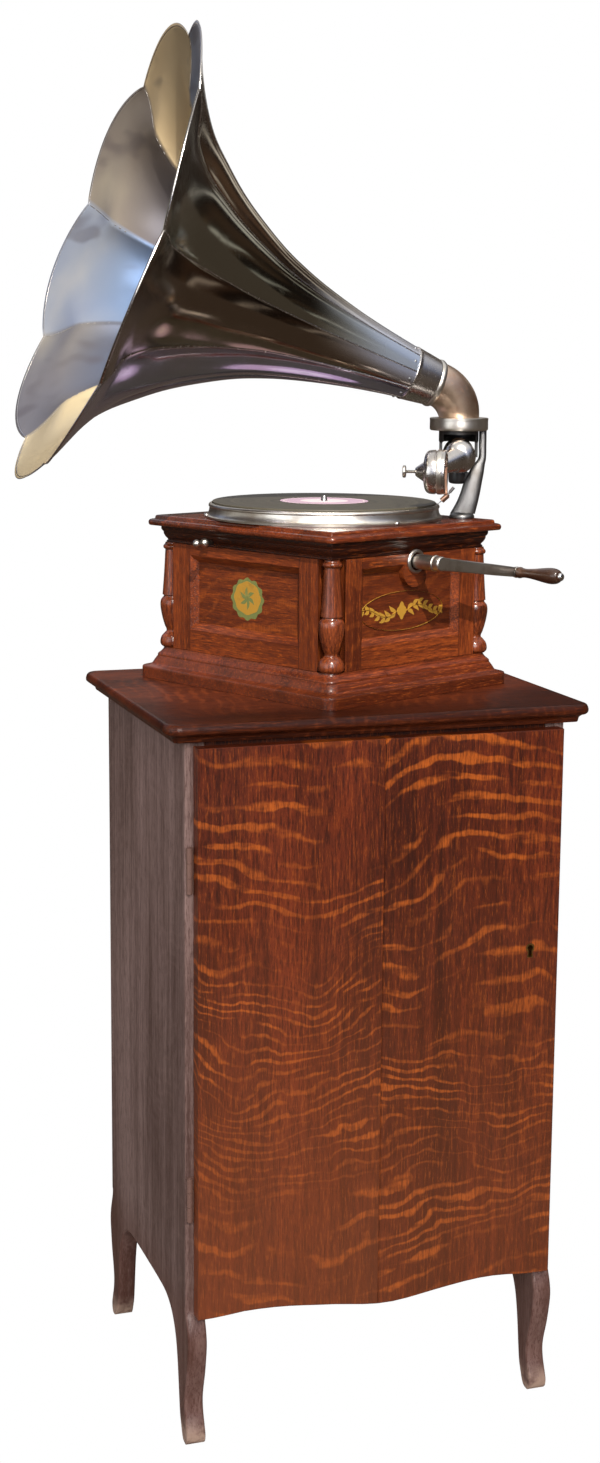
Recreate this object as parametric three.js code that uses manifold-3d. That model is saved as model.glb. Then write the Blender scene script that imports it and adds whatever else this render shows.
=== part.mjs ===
// A gramophone with an outside horn, standing turned on an oak record cabinet.
// Millimetres, +Z up, the cabinet's door faces -Y, the floor is z = 0.
import * as THREE from 'three';
import { mergeVertices } from 'three/addons/utils/BufferGeometryUtils.js';
import Module from 'manifold-3d';

// ---------------------------------------------------------------- driving dimensions
const GAP = 0.3; // clearance between two pieces that only touch
const SHEET = 1.2; // rolled sheet of the horn and elbow

const CABINET = {
  halfWidth: 210.5,
  halfDepth: 164.5,
  boardThickness: 21,
  topHeight: 788,
  topThickness: 20,
  topHalfWidth: 235,
  topHalfDepth: 187,
  floorOfBay: 150,
  shelfHeight: 452,
  shelfThickness: 16,
  backThickness: 8,
};

const DOOR = {
  halfWidth: CABINET.halfWidth - 8.5,
  bottom: CABINET.floorOfBay,
  top: CABINET.topHeight - CABINET.topThickness - 5,
  thickness: 18,
  hingeGap: 2.6,
  keyholeX: CABINET.halfWidth - 41.5,
  keyholeZ: CABINET.shelfHeight + CABINET.shelfThickness + 54,
};

const RACK = { slots: 8, wall: 4, base: 8, height: 215, depth: 262 };

const HINGE = {
  x: -CABINET.halfWidth + 3.9,
  y: -CABINET.halfDepth - 4.2,
  knuckle: 3.3,
  bore: 1.85,
  pin: 1.6,
  height: 48,
  leaf: 1.1,
  levels: { lower: DOOR.bottom + 129, upper: DOOR.top - 129 },
};

const MACHINE = {
  x: 10.8,
  y: 49.4,
  turn: 25.24,
  columnA: 113,
  columnB: 128,
  wallA: 122,
  wallB: 136.5,
  wallThickness: 14,
  wallBottom: 35,
  wallTop: 153.5,
  recess: 7,
  boardBottom: 172.3,
  tierTop: 184,
};

const CRANK = { a: 5, height: 145, throw: 116.5, droop: 8, shaft: 5, sleeve: 8 };
const BARREL = { a: 5, b: -62, teeth: 46, module: 2 };
const PINION_TEETH = 16;
const ARM = { a: 116, b: -95.5, bearing: 226.2, pinRise: 72 };
const PIN_HEIGHT = MACHINE.tierTop + ARM.pinRise;
const RING = { outer: 32.4, bore: 23.1, bottom: PIN_HEIGHT + 25, top: PIN_HEIGHT + 39 };
const HORN = { bearing: 152.87, rise: 20.17, startX: 32.3, startZ: RING.top + 38.7, panels: 9, phase: 43.4 };
// Distance from the elbow and radius on a panel's middle line, at stations along the horn.
const FLARE = [
  [2, 25.4], [30, 28.9], [75, 36.4], [110, 43.6], [150, 53.5], [178, 62], [212, 75], [247, 93],
  [280, 113], [310, 136], [338, 161], [364, 196], [388.4, 239.3], [397.3, 256.8],
];
const SEAM = { sink: 0.1, radius: 235.9, distance: 388.4 }; // the seams lie lower and end in notches

const COLOURS = {
  oak: 0x6b2f18, darkOak: 0x4a2013, sideOak: 0x5b4338, pale: 0x9b7a55, nickel: 0xc9c6bf, worn: 0x8f6e58,
  steel: 0x8a8d90, black: 0x1b1b1c, brass: 0xb08a45, felt: 0x3c4a34, shellac: 0x23231f, mica: 0xb8702f,
  grip: 0x3a2418,
};

// ---------------------------------------------------------------- geometry helpers
const wasm = await Module();
wasm.setup();

const root = new THREE.Group();
root.name = 'gramophone_cabinet';

const rad = THREE.MathUtils.degToRad;
const vec = (x, y, z) => new THREE.Vector3(x, y, z);

/** A frame for a sub-assembly, turned about Z. */
function frame(parent, x, y, z, turn = 0) {
  const group = new THREE.Group();
  group.position.set(x, y, z);
  group.rotation.z = rad(turn);
  parent.add(group);
  return group;
}

/** Adds one named piece to its sub-assembly. */
function piece(parent, name, geometry, colour, roughness = 0.5, metalness = 0) {
  const material = new THREE.MeshStandardMaterial({ color: colour, roughness, metalness });
  const mesh = new THREE.Mesh(geometry, material);
  mesh.name = name;
  parent.add(mesh);
  return mesh;
}

function signedVolume(position, index) {
  const [a, b, c] = [new THREE.Vector3(), new THREE.Vector3(), new THREE.Vector3()];
  let volume = 0;
  for (let i = 0; i < index.length; i += 3) {
    a.fromArray(position, index[i] * 3);
    b.fromArray(position, index[i + 1] * 3);
    c.fromArray(position, index[i + 2] * 3);
    volume += a.dot(b.cross(c));
  }
  return volume;
}

/** Skins equal rings of points; an open skin is capped with fans, a closed one meets itself. */
function skin(rings, closed = false) {
  const n = rings[0].length;
  const position = rings.flat().flatMap((p) => [p.x, p.y, p.z]);
  const index = [];
  const bands = closed ? rings.length : rings.length - 1;
  for (let i = 0; i < bands; i += 1) {
    const a = i * n;
    const b = ((i + 1) % rings.length) * n;
    for (let j = 0; j < n; j += 1) {
      const k = (j + 1) % n;
      index.push(a + j, b + j, b + k, a + j, b + k, a + k);
    }
  }
  if (!closed) {
    capRing(position, index, rings[0], 0, true);
    capRing(position, index, rings[rings.length - 1], (rings.length - 1) * n, false);
  }
  if (signedVolume(position, index) < 0) {
    for (let i = 0; i < index.length; i += 3) [index[i + 1], index[i + 2]] = [index[i + 2], index[i + 1]];
  }
  const geometry = new THREE.BufferGeometry();
  geometry.setAttribute('position', new THREE.Float32BufferAttribute(position, 3));
  geometry.setIndex(index);
  const flat = geometry.toNonIndexed();
  flat.computeVertexNormals();
  return flat;
}

function capRing(position, index, ring, start, first) {
  const centre = ring.reduce((sum, p) => sum.add(p), vec(0, 0, 0)).divideScalar(ring.length);
  const hub = position.length / 3;
  position.push(centre.x, centre.y, centre.z);
  ring.forEach((_, j) => {
    const k = (j + 1) % ring.length;
    if (first) index.push(hub, start + j, start + k);
    else index.push(hub, start + k, start + j);
  });
}

const circle = (radius, z, segments, x = 0, y = 0) => Array.from({ length: segments }, (_, i) => {
  const t = (i / segments) * 2 * Math.PI;
  return vec(x + radius * Math.cos(t), y + radius * Math.sin(t), z);
});

/** A turned solid about Z from [radius, z] pairs; a closed profile gives a ring. */
const turned = (profile, segments, closed = false) => skin(
  profile.map(([r, z]) => circle(Math.max(r, 0.02), z, segments)),
  closed,
);

/** A rectangle with rounded corners at height z. */
function roundedRing(halfX, halfY, radius, z, steps = 3) {
  const corners = [[1, 1], [-1, 1], [-1, -1], [1, -1]];
  return corners.flatMap(([sx, sy], quarter) => Array.from({ length: steps + 1 }, (_, i) => {
    const t = ((quarter + i / steps) * Math.PI) / 2;
    return vec(
      sx * (halfX - radius) + radius * Math.cos(t),
      sy * (halfY - radius) + radius * Math.sin(t),
      z,
    );
  }));
}

/** A moulding round a rectangle from [outset, z] pairs, mitred where it stands out; closed, a hollow frame. */
const moulded = (halfX, halfY, radius, section, closed = false, steps = 3) => skin(
  section.map(([out, z]) => roundedRing(halfX + out, halfY + out, Math.max(radius + Math.min(out, 0), 0.6), z, steps)),
  closed,
);

function box(x0, x1, y0, y1, z0, z1) {
  const geometry = new THREE.BoxGeometry(x1 - x0, y1 - y0, z1 - z0);
  return geometry.translate((x0 + x1) / 2, (y0 + y1) / 2, (z0 + z1) / 2);
}

/** A box whose long edges are eased, lying between two corners. */
function eased(x0, x1, y0, y1, z0, z1, ease = 1.2) {
  const ring = (inset, z) => roundedRing((x1 - x0) / 2 - inset, (y1 - y0) / 2 - inset, ease, z, 1);
  const rings = [ring(ease, z0), ring(0, z0 + ease), ring(0, z1 - ease), ring(ease, z1)];
  return skin(rings).translate((x0 + x1) / 2, (y0 + y1) / 2, 0);
}

/** A flat outline extruded along Z, its edges eased. */
function plate(points, thickness, ease = 0) {
  const shape = new THREE.Shape(points.map(([x, y]) => new THREE.Vector2(x, y)));
  const geometry = new THREE.ExtrudeGeometry(shape, {
    depth: thickness - 2 * ease,
    bevelEnabled: ease > 0,
    bevelThickness: ease,
    bevelSize: ease,
    bevelOffset: -ease,
    bevelSegments: 1,
  });
  return geometry.translate(0, 0, ease);
}

/** Cylinder from one point to another. */
function rod(from, to, radius, segments = 16, endRadius = radius) {
  const axis = to.clone().sub(from);
  const geometry = turned([[radius, 0], [endRadius, axis.length()]], segments);
  const turn = new THREE.Quaternion().setFromUnitVectors(vec(0, 0, 1), axis.normalize());
  return geometry.applyQuaternion(turn).translate(from.x, from.y, from.z);
}

/** Sections carried along a curve; section(t) gives [u, v] pairs across it. */
function sweep(curve, stations, section, up = vec(0, 0, 1)) {
  const rings = Array.from({ length: stations + 1 }, (_, i) => {
    const t = i / stations;
    const at = curve.getPoint(t);
    const along = curve.getTangent(t);
    const across = up.clone().cross(along).normalize();
    const over = along.clone().cross(across);
    return section(t).map(([u, v]) => at.clone().addScaledVector(across, u).addScaledVector(over, v));
  });
  return skin(rings);
}

const oval = (halfU, halfV, segments = 16) => Array.from({ length: segments }, (_, i) => {
  const t = (i / segments) * 2 * Math.PI;
  return [halfU * Math.cos(t), halfV * Math.sin(t)];
});

const bar = (halfU, halfV, c = 1) => [
  [halfU, -halfV + c], [halfU, halfV - c], [halfU - c, halfV], [-halfU + c, halfV],
  [-halfU, halfV - c], [-halfU, -halfV + c], [-halfU + c, -halfV], [halfU - c, -halfV],
];

function toSolid(geometry) {
  const bare = new THREE.BufferGeometry();
  bare.setAttribute('position', geometry.getAttribute('position').clone());
  if (geometry.index) bare.setIndex(geometry.index.clone());
  const welded = mergeVertices(bare, 1e-4);
  return new wasm.Manifold(new wasm.Mesh({
    numProp: 3,
    vertProperties: new Float32Array(welded.getAttribute('position').array),
    triVerts: new Uint32Array(welded.index.array),
  }));
}

function fromSolid(solid) {
  const mesh = solid.getMesh();
  const geometry = new THREE.BufferGeometry();
  geometry.setAttribute('position', new THREE.Float32BufferAttribute(mesh.vertProperties, 3));
  geometry.setIndex(Array.from(mesh.triVerts));
  const flat = geometry.toNonIndexed();
  flat.computeVertexNormals();
  return flat;
}

const join = (...parts) => fromSolid(parts.map(toSolid).reduce((a, b) => a.add(b)));
const cut = (body, ...tools) => fromSolid(tools.map(toSolid).reduce((a, b) => a.subtract(b), toSolid(body)));

// ---------------------------------------------------------------- cabinet
/** Front half of a side board's outline below the door, from knee to foot and back up the arch. */
function legOutline() {
  const d = CABINET.halfDepth;
  const front = [
    [d, 152], [d + 5, 143], [d + 10, 131], [d + 12.5, 118], [d + 10.5, 102], [d + 5.5, 80],
    [d - 1, 60], [d - 3.5, 47], [d - 1.5, 34], [d + 3.5, 22], [d + 6.5, 13], [d + 4.4, 4.6], [d + 0.4, 0],
  ];
  const back = [
    [d - 6.4, 0], [d - 11, 2], [d - 17, 9], [d - 24, 22], [d - 28, 42], [d - 31, 62], [d - 35.5, 86],
    [d - 41, 104], [d - 50, 119], [d - 63, 130], [d - 82, 137], [d - 112, 139],
  ];
  return [...front, ...back];
}

function sideBoard() {
  const half = legOutline().map(([y, z]) => [-y, z]);
  const outline = [[-CABINET.halfDepth, CABINET.topHeight - CABINET.topThickness - GAP], ...half];
  const mirrored = outline.map(([y, z]) => [-y, z]).reverse();
  const board = plate([...outline, ...mirrored], CABINET.boardThickness, 1.6);
  // The outline's first axis becomes Y and its second becomes Z.
  return board.rotateX(Math.PI / 2).rotateZ(Math.PI / 2);
}

function buildCase(parent) {
  const c = CABINET;
  const inner = c.halfWidth - c.boardThickness - GAP;
  const under = c.topHeight - c.topThickness;
  const left = sideBoard().translate(-c.halfWidth, 0, 0);
  const mortise = box(c.halfWidth - 24, c.halfWidth - 8, doorBack() + 3.9, doorBack() + 14.1,
    DOOR.keyholeZ - 8, DOOR.keyholeZ + 8);
  const right = cut(sideBoard().translate(c.halfWidth - c.boardThickness, 0, 0), mortise);
  piece(parent, 'left_side_board', left, COLOURS.sideOak, 0.45);
  piece(parent, 'right_side_board', right, COLOURS.sideOak, 0.45);

  const backY = c.halfDepth - 4;
  piece(parent, 'back_panel', box(-inner, inner, backY - c.backThickness, backY, c.floorOfBay, under - GAP),
    COLOURS.darkOak, 0.7);
  const bayBack = backY - c.backThickness - GAP;
  piece(parent, 'bottom_board',
    eased(-inner, inner, 1 - c.halfDepth, bayBack, c.floorOfBay, c.floorOfBay + c.shelfThickness),
    COLOURS.darkOak, 0.6);
  piece(parent, 'middle_shelf',
    eased(-inner, inner, 6.5 - c.halfDepth, bayBack, c.shelfHeight, c.shelfHeight + c.shelfThickness),
    COLOURS.darkOak, 0.6);
  piece(parent, 'front_top_rail', eased(-inner, inner, 1 - c.halfDepth, 21.5 - c.halfDepth, under - 26, under - GAP),
    COLOURS.darkOak, 0.6);

  const section = [
    [-11.5, 0], [-11, 1.2], [-9.6, 5], [-6, 7.8], [-2.2, 9.2], [-0.4, 11], [0, 13.2],
    [-0.6, 16], [-2, 18.6], [-4, 20],
  ].map(([out, z]) => [out, under + z]);
  const top = moulded(c.topHalfWidth, c.topHalfDepth, 17, section);
  piece(parent, 'cabinet_top', top, COLOURS.oak, 0.3);

  const rack = (shelf) => recordRack(shelf + c.shelfThickness + GAP);
  piece(parent, 'upper_record_rack', rack(c.shelfHeight), COLOURS.pale, 0.7);
  piece(parent, 'lower_record_rack', rack(c.floorOfBay), COLOURS.pale, 0.7);
}

/** A comb of thin uprights on a base slat, so that each disc stands in its own slot. */
function recordRack(z) {
  const { slots, wall, base, height, depth } = RACK;
  const half = CABINET.halfWidth - CABINET.boardThickness - 3;
  const pitch = (2 * half - wall) / slots;
  const outline = [[-half, 0], [half, 0]];
  for (let i = slots; i >= 0; i -= 1) {
    const x = -half + i * pitch;
    outline.push([x + wall, height], [x, height]);
    if (i > 0) outline.push([x, base], [x - pitch + wall, base]);
  }
  const comb = plate(outline, depth);
  return comb.rotateX(Math.PI / 2).translate(0, CABINET.halfDepth - 14.5, z);
}

// ---------------------------------------------------------------- door
/** The serpentine lower edge of the door: height above its corners at x. */
function doorEdge(x) {
  const u = (x + DOOR.halfWidth) / (2 * DOOR.halfWidth);
  const rise = 3.5 * Math.sin(Math.PI * Math.min(u / 0.32, 1)) + 3.5 * Math.exp(-(((u - 0.82) / 0.1) ** 2));
  const dip = 10 * Math.exp(-(((u - 0.52) / 0.14) ** 2));
  return DOOR.bottom + (rise - dip) * Math.min(1, 8 * Math.min(u, 1 - u));
}

function doorBoard(x0, x1) {
  const steps = 12;
  const lower = Array.from({ length: steps + 1 }, (_, i) => x0 + ((x1 - x0) * i) / steps);
  const outline = [...lower.map((x) => [x, doorEdge(x)]), [x1, DOOR.top], [x0, DOOR.top]];
  const board = plate(outline, DOOR.thickness, 1);
  return board.rotateX(Math.PI / 2).translate(0, doorBack(), 0);
}

const doorBack = () => -CABINET.halfDepth - DOOR.hingeGap;

function keyholeShape(scale) {
  const round = Array.from({ length: 11 }, (_, i) => rad(-58 + (296 * i) / 10));
  const points = round.map((t) => [3.1 * scale * Math.cos(t), 3.1 * scale * Math.sin(t) + 3]);
  return [...points, [-2.1 * scale, -6 - scale], [2.1 * scale, -6 - scale]];
}

function buildDoor(parent) {
  const back = doorBack();
  const face = back - DOOR.thickness;
  const { keyholeX: kx, keyholeZ: kz } = DOOR;
  piece(parent, 'door_left_board', doorBoard(-DOOR.halfWidth, -0.15), COLOURS.oak, 0.3);
  const pocket = plate(keyholeShape(1.7), 30).rotateX(Math.PI / 2).translate(kx, back + 5, kz);
  piece(parent, 'door_right_board', cut(doorBoard(0.15, DOOR.halfWidth), pocket), COLOURS.oak, 0.3);
  const batten = (z) => eased(32 - DOOR.halfWidth, DOOR.halfWidth - 62, back + 0.1, back + 14, z, z + 46);
  piece(parent, 'door_lower_batten', batten(DOOR.bottom + 40), COLOURS.darkOak, 0.6);
  piece(parent, 'door_upper_batten', batten(DOOR.top - 83), COLOURS.darkOak, 0.6);

  const bush = cut(
    plate(keyholeShape(1.6), 12).rotateX(Math.PI / 2).translate(kx, face + 11.8, kz),
    plate(keyholeShape(1.05), 16).rotateX(Math.PI / 2).translate(kx, face + 13, kz),
  );
  piece(parent, 'keyhole_bush', bush, COLOURS.brass, 0.35, 1);

  const lock = cut(
    eased(kx - 22, kx + 16.5, back + 0.1, back + 15, kz - 26, kz + 26, 1),
    box(kx - 12, kx + 18, back + 4.5, back + 12.5, kz - 6.4, kz + 6.4),
    box(kx - 2, kx + 2, back - 1, back + 6, kz - 12, kz - 4),
  );
  piece(parent, 'lock_case', lock, COLOURS.brass, 0.4, 1);
  const bolt = box(kx - 11.5, kx + 16.5, back + 5, back + 12, kz - 6, kz + 6);
  piece(parent, 'lock_bolt', bolt, COLOURS.steel, 0.35, 1);
}

/** One leaf: a flat plate in the joint and its share of the knuckle. */
function hingeLeaf(level, knuckles, y0, y1) {
  const h = HINGE;
  const parts = [box(h.x + 1.4, h.x + 15.1, y0, y1, level - h.height / 2, level + h.height / 2)];
  knuckles.forEach(([from, to]) => {
    parts.push(rod(vec(h.x, h.y, level + from), vec(h.x, h.y, level + to), h.knuckle, 14));
    parts.push(box(h.x - 0.5, h.x + 4.1, h.y + 1, y1, level + from, level + to));
  });
  const relief = knuckles.length === 2 ? [[-8.2, 8.2]] : [[-40, -7.8], [7.8, 40]];
  const reliefs = relief.map(([a, b]) => box(h.x - 6, h.x + 4.4, h.y - 8, y1 + 0.5, level + a, level + b));
  const bore = rod(vec(h.x, h.y, level - 40), vec(h.x, h.y, level + 40), h.bore, 14);
  return cut(cut(join(...parts), ...reliefs), bore);
}

function buildHinges(parent) {
  const front = -CABINET.halfDepth;
  Object.entries(HINGE.levels).forEach(([where, z]) => {
    const half = HINGE.height / 2;
    const caseLeaf = hingeLeaf(z, [[-half, -8.2], [8.2, half]], front - 1.25, front - 0.15);
    const doorLeaf = hingeLeaf(z, [[-7.8, 7.8]], front - 2.5, front - 1.4);
    piece(parent, `${where}_hinge_case_leaf`, caseLeaf, COLOURS.brass, 0.4, 1);
    piece(parent, `${where}_hinge_door_leaf`, doorLeaf, COLOURS.brass, 0.4, 1);
    const pin = turned([[0.8, -half - 1.6], [2.6, -half - 1], [2.6, -half - 0.2], [1.6, -half - 0.2], [1.6, half],
      [0.8, half + 0.6]], 12);
    piece(parent, `${where}_hinge_pin`, pin.translate(HINGE.x, HINGE.y, z), COLOURS.steel, 0.35, 1);
  });
}

// ---------------------------------------------------------------- gramophone case
function buildPlinth(parent) {
  const section = [
    [23, 0], [27, 0], [27, 11.5], [26.4, 13], [23.5, 14], [19.4, 15.6], [17.4, 19.5],
    [15.2, 23.6], [14.6, 24.4], [14.4, 26.8], [11.6, 30], [9.8, 33], [9.4, 34.7],
    [-12, 34.7], [-12, 0],
  ];
  const plinth = moulded(MACHINE.wallA - 7.4, MACHINE.wallB - 7.4, 7, section, true, 2);
  piece(parent, 'plinth_moulding', plinth, COLOURS.oak, 0.3);
}

/** A recess with bevelled sides, lying in the XZ plane and opening towards -Y. */
function recessTool(halfWidth, bottom, top) {
  const m = MACHINE;
  const mid = (bottom + top) / 2;
  const half = (top - bottom) / 2;
  const ring = (inset, y) => [[1, 1], [-1, 1], [-1, -1], [1, -1]].map(
    ([sx, sz]) => vec(sx * (halfWidth - inset), y, mid + sz * (half - inset)),
  );
  return skin([ring(-0.35, -0.5), ring(0, 0), ring(2.2, 1.6), ring(7.2, m.recess - 1.2), ring(8, m.recess)]);
}

/** One panelled wall standing on y = 0 and facing -Y, hollowed at its ends round the two columns. */
function panelledWall(column, setback, halfOpening) {
  const m = MACHINE;
  const half = column - 9.4;
  const wall = box(-half, half, 0, m.wallThickness, m.wallBottom, m.wallTop);
  const hollow = (x) => rod(vec(x, setback, 20), vec(x, setback, 170), 14.6, 24);
  return [cut(wall, hollow(-column), hollow(column)), recessTool(halfOpening, 59, 142.5)];
}

/** The crank's wall: a rounded lug of full thickness hangs into the panel behind the escutcheon. */
function crankWall() {
  const [wall, recess] = panelledWall(MACHINE.columnA, MACHINE.wallB - MACHINE.columnB, 77);
  const lug = rod(vec(CRANK.a, -3, CRANK.height - 9), vec(CRANK.a, 20, CRANK.height - 9), 19, 28);
  const panel = cut(recess, lug);
  const hole = rod(vec(CRANK.a, -5, CRANK.height), vec(CRANK.a, 30, CRANK.height), 9.6, 20);
  return cut(wall, panel, hole);
}

function buildWalls(parent) {
  const m = MACHINE;
  const short = panelledWall(m.columnA, m.wallB - m.columnB, 77);
  const long = panelledWall(m.columnB, m.wallA - m.columnA, 88);
  const turnedWall = (geometry, turn, distance) => geometry.translate(0, -distance, 0).rotateZ(rad(turn));
  piece(parent, 'crank_wall', turnedWall(crankWall(), 0, m.wallB), COLOURS.oak, 0.35);
  piece(parent, 'right_wall', turnedWall(cut(...long), 90, m.wallA), COLOURS.oak, 0.35);
  piece(parent, 'far_wall', turnedWall(cut(...short), 180, m.wallB), COLOURS.oak, 0.35);
  piece(parent, 'regulator_wall', turnedWall(cut(...long), 270, m.wallA), COLOURS.oak, 0.35);
}

/** A turned column in the notch of a corner, one piece with the square post behind it. */
function cornerColumn(sx, sy) {
  const profile = [
    [11.5, 35.1], [13.8, 37.6], [14.2, 41.6], [12.8, 46.8], [8.4, 51.8], [7.6, 55], [9, 58.6],
    [12, 69], [14, 81], [13.6, 87], [10.4, 92], [10.4, 93.4], [11.4, 94.6],
    [9.7, 120], [8.3, 145.4], [10.2, 148], [10.2, 150.4], [8.2, 152.6], [8.2, 153.4],
  ];
  const column = turned(profile, 12).translate(sx * MACHINE.columnA, sy * MACHINE.columnB, 0);
  const a = MACHINE.wallA - MACHINE.wallThickness - GAP;
  const b = MACHINE.wallB - MACHINE.wallThickness - GAP;
  const xs = [sx * a, sx * (a - 15)].sort((p, q) => p - q);
  const ys = [sy * b, sy * (b - 15)].sort((p, q) => p - q);
  return join(column, box(xs[0], xs[1], ys[0], ys[1], 35.1, 153.3));
}

function buildColumns(parent) {
  const corners = { front_left: [-1, -1], front_right: [1, -1], back_right: [1, 1], back_left: [-1, 1] };
  Object.entries(corners).forEach(([where, [sx, sy]]) => {
    piece(parent, `column_${where}`, cornerColumn(sx, sy), COLOURS.oak, 0.25);
  });
}

function buildCornice(parent) {
  const section = [
    [1.2, 172], [1.2, 168.6], [0.2, 166.4], [-0.8, 165.6], [-1, 163.6], [-2.8, 160], [-4.6, 157.4],
    [-4.9, 156.2], [-3.9, 155.4], [-3.9, 153.8], [-15, 153.8], [-15, 172],
  ];
  const cornice = moulded(MACHINE.wallA, MACHINE.wallB, 3, section, true, 2);
  const hole = rod(vec(-130, REGULATOR.b, REGULATOR.height), vec(-95, REGULATOR.b, REGULATOR.height), 3, 14);
  piece(parent, 'cornice', cut(cornice, hole), COLOURS.darkOak, 0.4);
}

function buildTopBoard(parent) {
  const m = MACHINE;
  const section = [
    [-4, 0], [-1, 0.6], [0, 2.4], [0, 4.6], [-1.2, 6.4], [-4, 7.4], [-7, 7.6], [-7.4, 8.4],
    [-7.8, 10.2], [-9, 11.7],
  ].map(([out, z]) => [out, m.boardBottom + z]);
  const board = moulded(135, 149.5, 5, section, false, 3);
  const spindleHole = rod(vec(0, 0, 160), vec(0, 0, 200), 9, 20);
  piece(parent, 'machine_top', cut(board, spindleHole), COLOURS.oak, 0.25);
}

// ---------------------------------------------------------------- turntable
function buildTurntable(parent) {
  const base = MACHINE.tierTop + GAP;
  const bezel = [
    [124.4, 0], [132.4, 0], [132.6, 2], [130.4, 3.5], [128.6, 7], [127.9, 11.2], [128.9, 13],
    [127.6, 15.2], [124.6, 14.8],
  ].map(([r, z]) => [r, z + base]);
  piece(parent, 'turntable_bezel', turned(bezel, 44, true), COLOURS.nickel, 0.2, 1);
  const plateProfile = [
    [5.6, 187.4], [30, 187.4], [31, 190.6], [120.5, 190.6], [121.5, 197.2], [5.6, 197.2],
  ];
  piece(parent, 'turntable', turned(plateProfile, 36, true), COLOURS.steel, 0.4, 1);
  piece(parent, 'felt_mat', turned([[5.6, 197.4], [120.5, 197.4], [120.5, 199], [5.6, 199]], 36, true),
    COLOURS.felt, 0.95);
  const disc = [
    [3.9, 199.2], [124.2, 199.2], [125, 200.4], [124, 201.9], [52, 201.6], [50.5, 202.2], [3.9, 202.2],
  ];
  piece(parent, 'record', turned(disc, 48, true), COLOURS.shellac, 0.25);
  buildSpindle(parent);
}

/** A gear outline with straight-sided teeth, thinner than the gaps they run in. */
function gearOutline(teeth, module, phase = 0) {
  const pitch = (teeth * module) / 2;
  const step = (2 * Math.PI) / teeth;
  const marks = [[-0.5, -1.2], [-0.06, 0.75], [0.06, 0.75]];
  return Array.from({ length: teeth }, (_, i) => marks.map(([u, d]) => {
    const angle = phase + (i + u) * step;
    const r = pitch + d * module;
    return [r * Math.cos(angle), r * Math.sin(angle)];
  })).flat();
}

function buildSpindle(parent) {
  const contact = Math.atan2(BARREL.b, BARREL.a);
  const pinion = plate(gearOutline(PINION_TEETH, BARREL.module, contact + Math.PI / PINION_TEETH), 10);
  const shaft = turned([
    [3.8, 86], [3.8, 178], [7.4, 178.4], [7.4, 187], [5.2, 187.2], [5.2, 198.6], [3.6, 199], [3.6, 205.2],
    [2.6, 208],
  ], 12);
  const wormWheel = turned([[20.4, 112], [20.4, 118]], 20);
  piece(parent, 'spindle', join(shaft, pinion.translate(0, 0, 91), wormWheel), COLOURS.steel, 0.3, 1);
}

// ---------------------------------------------------------------- motor
function buildMotor(parent) {
  const frameParts = [box(-88, 72, -104, 62, 164, 167.4), box(-42, 52, -104, 54, 80, 83)];
  const posts = [[-36, -98], [46, -98], [46, 48], [-36, 48]];
  posts.forEach(([x, y]) => frameParts.push(rod(vec(x, y, 81), vec(x, y, 172), 4.5, 6)));
  const bushes = [
    rod(vec(0, 0, 150), vec(0, 0, 180), 4.8, 12),
    rod(vec(BARREL.a, BARREL.b, 150), vec(BARREL.a, BARREL.b, 180), 4.8, 12),
    rod(vec(BARREL.a, BARREL.b, 70), vec(BARREL.a, BARREL.b, 90), 4.8, 12),
  ];
  frameParts.push(box(-36, -32, 20, 32, 82, 165), box(60, 64, 20, 32, 104, 165));
  frameParts.push(rod(vec(CRANK.a, -104, CRANK.height), vec(CRANK.a, -101, CRANK.height), 9, 12));
  frameParts.push(box(CRANK.a - 8, CRANK.a + 8, -104, -101, CRANK.height + 3, 165));
  const journal = rod(vec(-60, 26, 115), vec(80, 26, 115), 3, 10);
  const bearing = rod(vec(CRANK.a, -110, CRANK.height), vec(CRANK.a, -90, CRANK.height), 5.5, 12);
  piece(parent, 'motor_frame', cut(join(...frameParts), ...bushes, journal, bearing), COLOURS.steel, 0.5, 1);

  const barrelBody = turned([[39.5, 97], [39.5, 124.6], [38, 126]], 24);
  const gear = plate(gearOutline(BARREL.teeth, BARREL.module, Math.atan2(-BARREL.b, -BARREL.a)), 6.2);
  const arborHole = rod(vec(0, 0, 80), vec(0, 0, 140), 4.8, 12);
  const barrel = cut(join(barrelBody, gear.translate(0, 0, 92)), arborHole);
  piece(parent, 'spring_barrel', barrel.translate(BARREL.a, BARREL.b, 0), COLOURS.brass, 0.4, 1);
  buildWindingGear(parent);

  const governor = join(
    rod(vec(-50, 26, 115), vec(63, 26, 115), 2.5, 10),
    rod(vec(-9, 26, 115), vec(9, 26, 115), 4.6, 10),
    rod(vec(-60, 26, 115), vec(-58, 26, 115), 15, 16),
    rod(vec(-58, 26, 115), vec(-37, 26, 115), 4, 10),
    rod(vec(26, 26, 115), vec(30, 26, 115), 6, 10),
    rod(vec(52, 26, 115), vec(56, 26, 115), 6, 10),
    ...[0, 120, 240].flatMap(governorWeight),
  );
  piece(parent, 'governor', governor, COLOURS.brass, 0.4, 1);
}

/** One weight of the governor and the two flat springs that carry it. */
function governorWeight(turn) {
  const at = (x, r) => vec(x, 26 + r * Math.cos(rad(turn)), 115 + r * Math.sin(rad(turn)));
  return [rod(at(28, 4.6), at(37, 9.5), 1.1, 4), rod(at(36, 9.6), at(46, 9.6), 3.6, 6), rod(at(45, 9.5), at(54, 4.6), 1.1, 4)];
}

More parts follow.
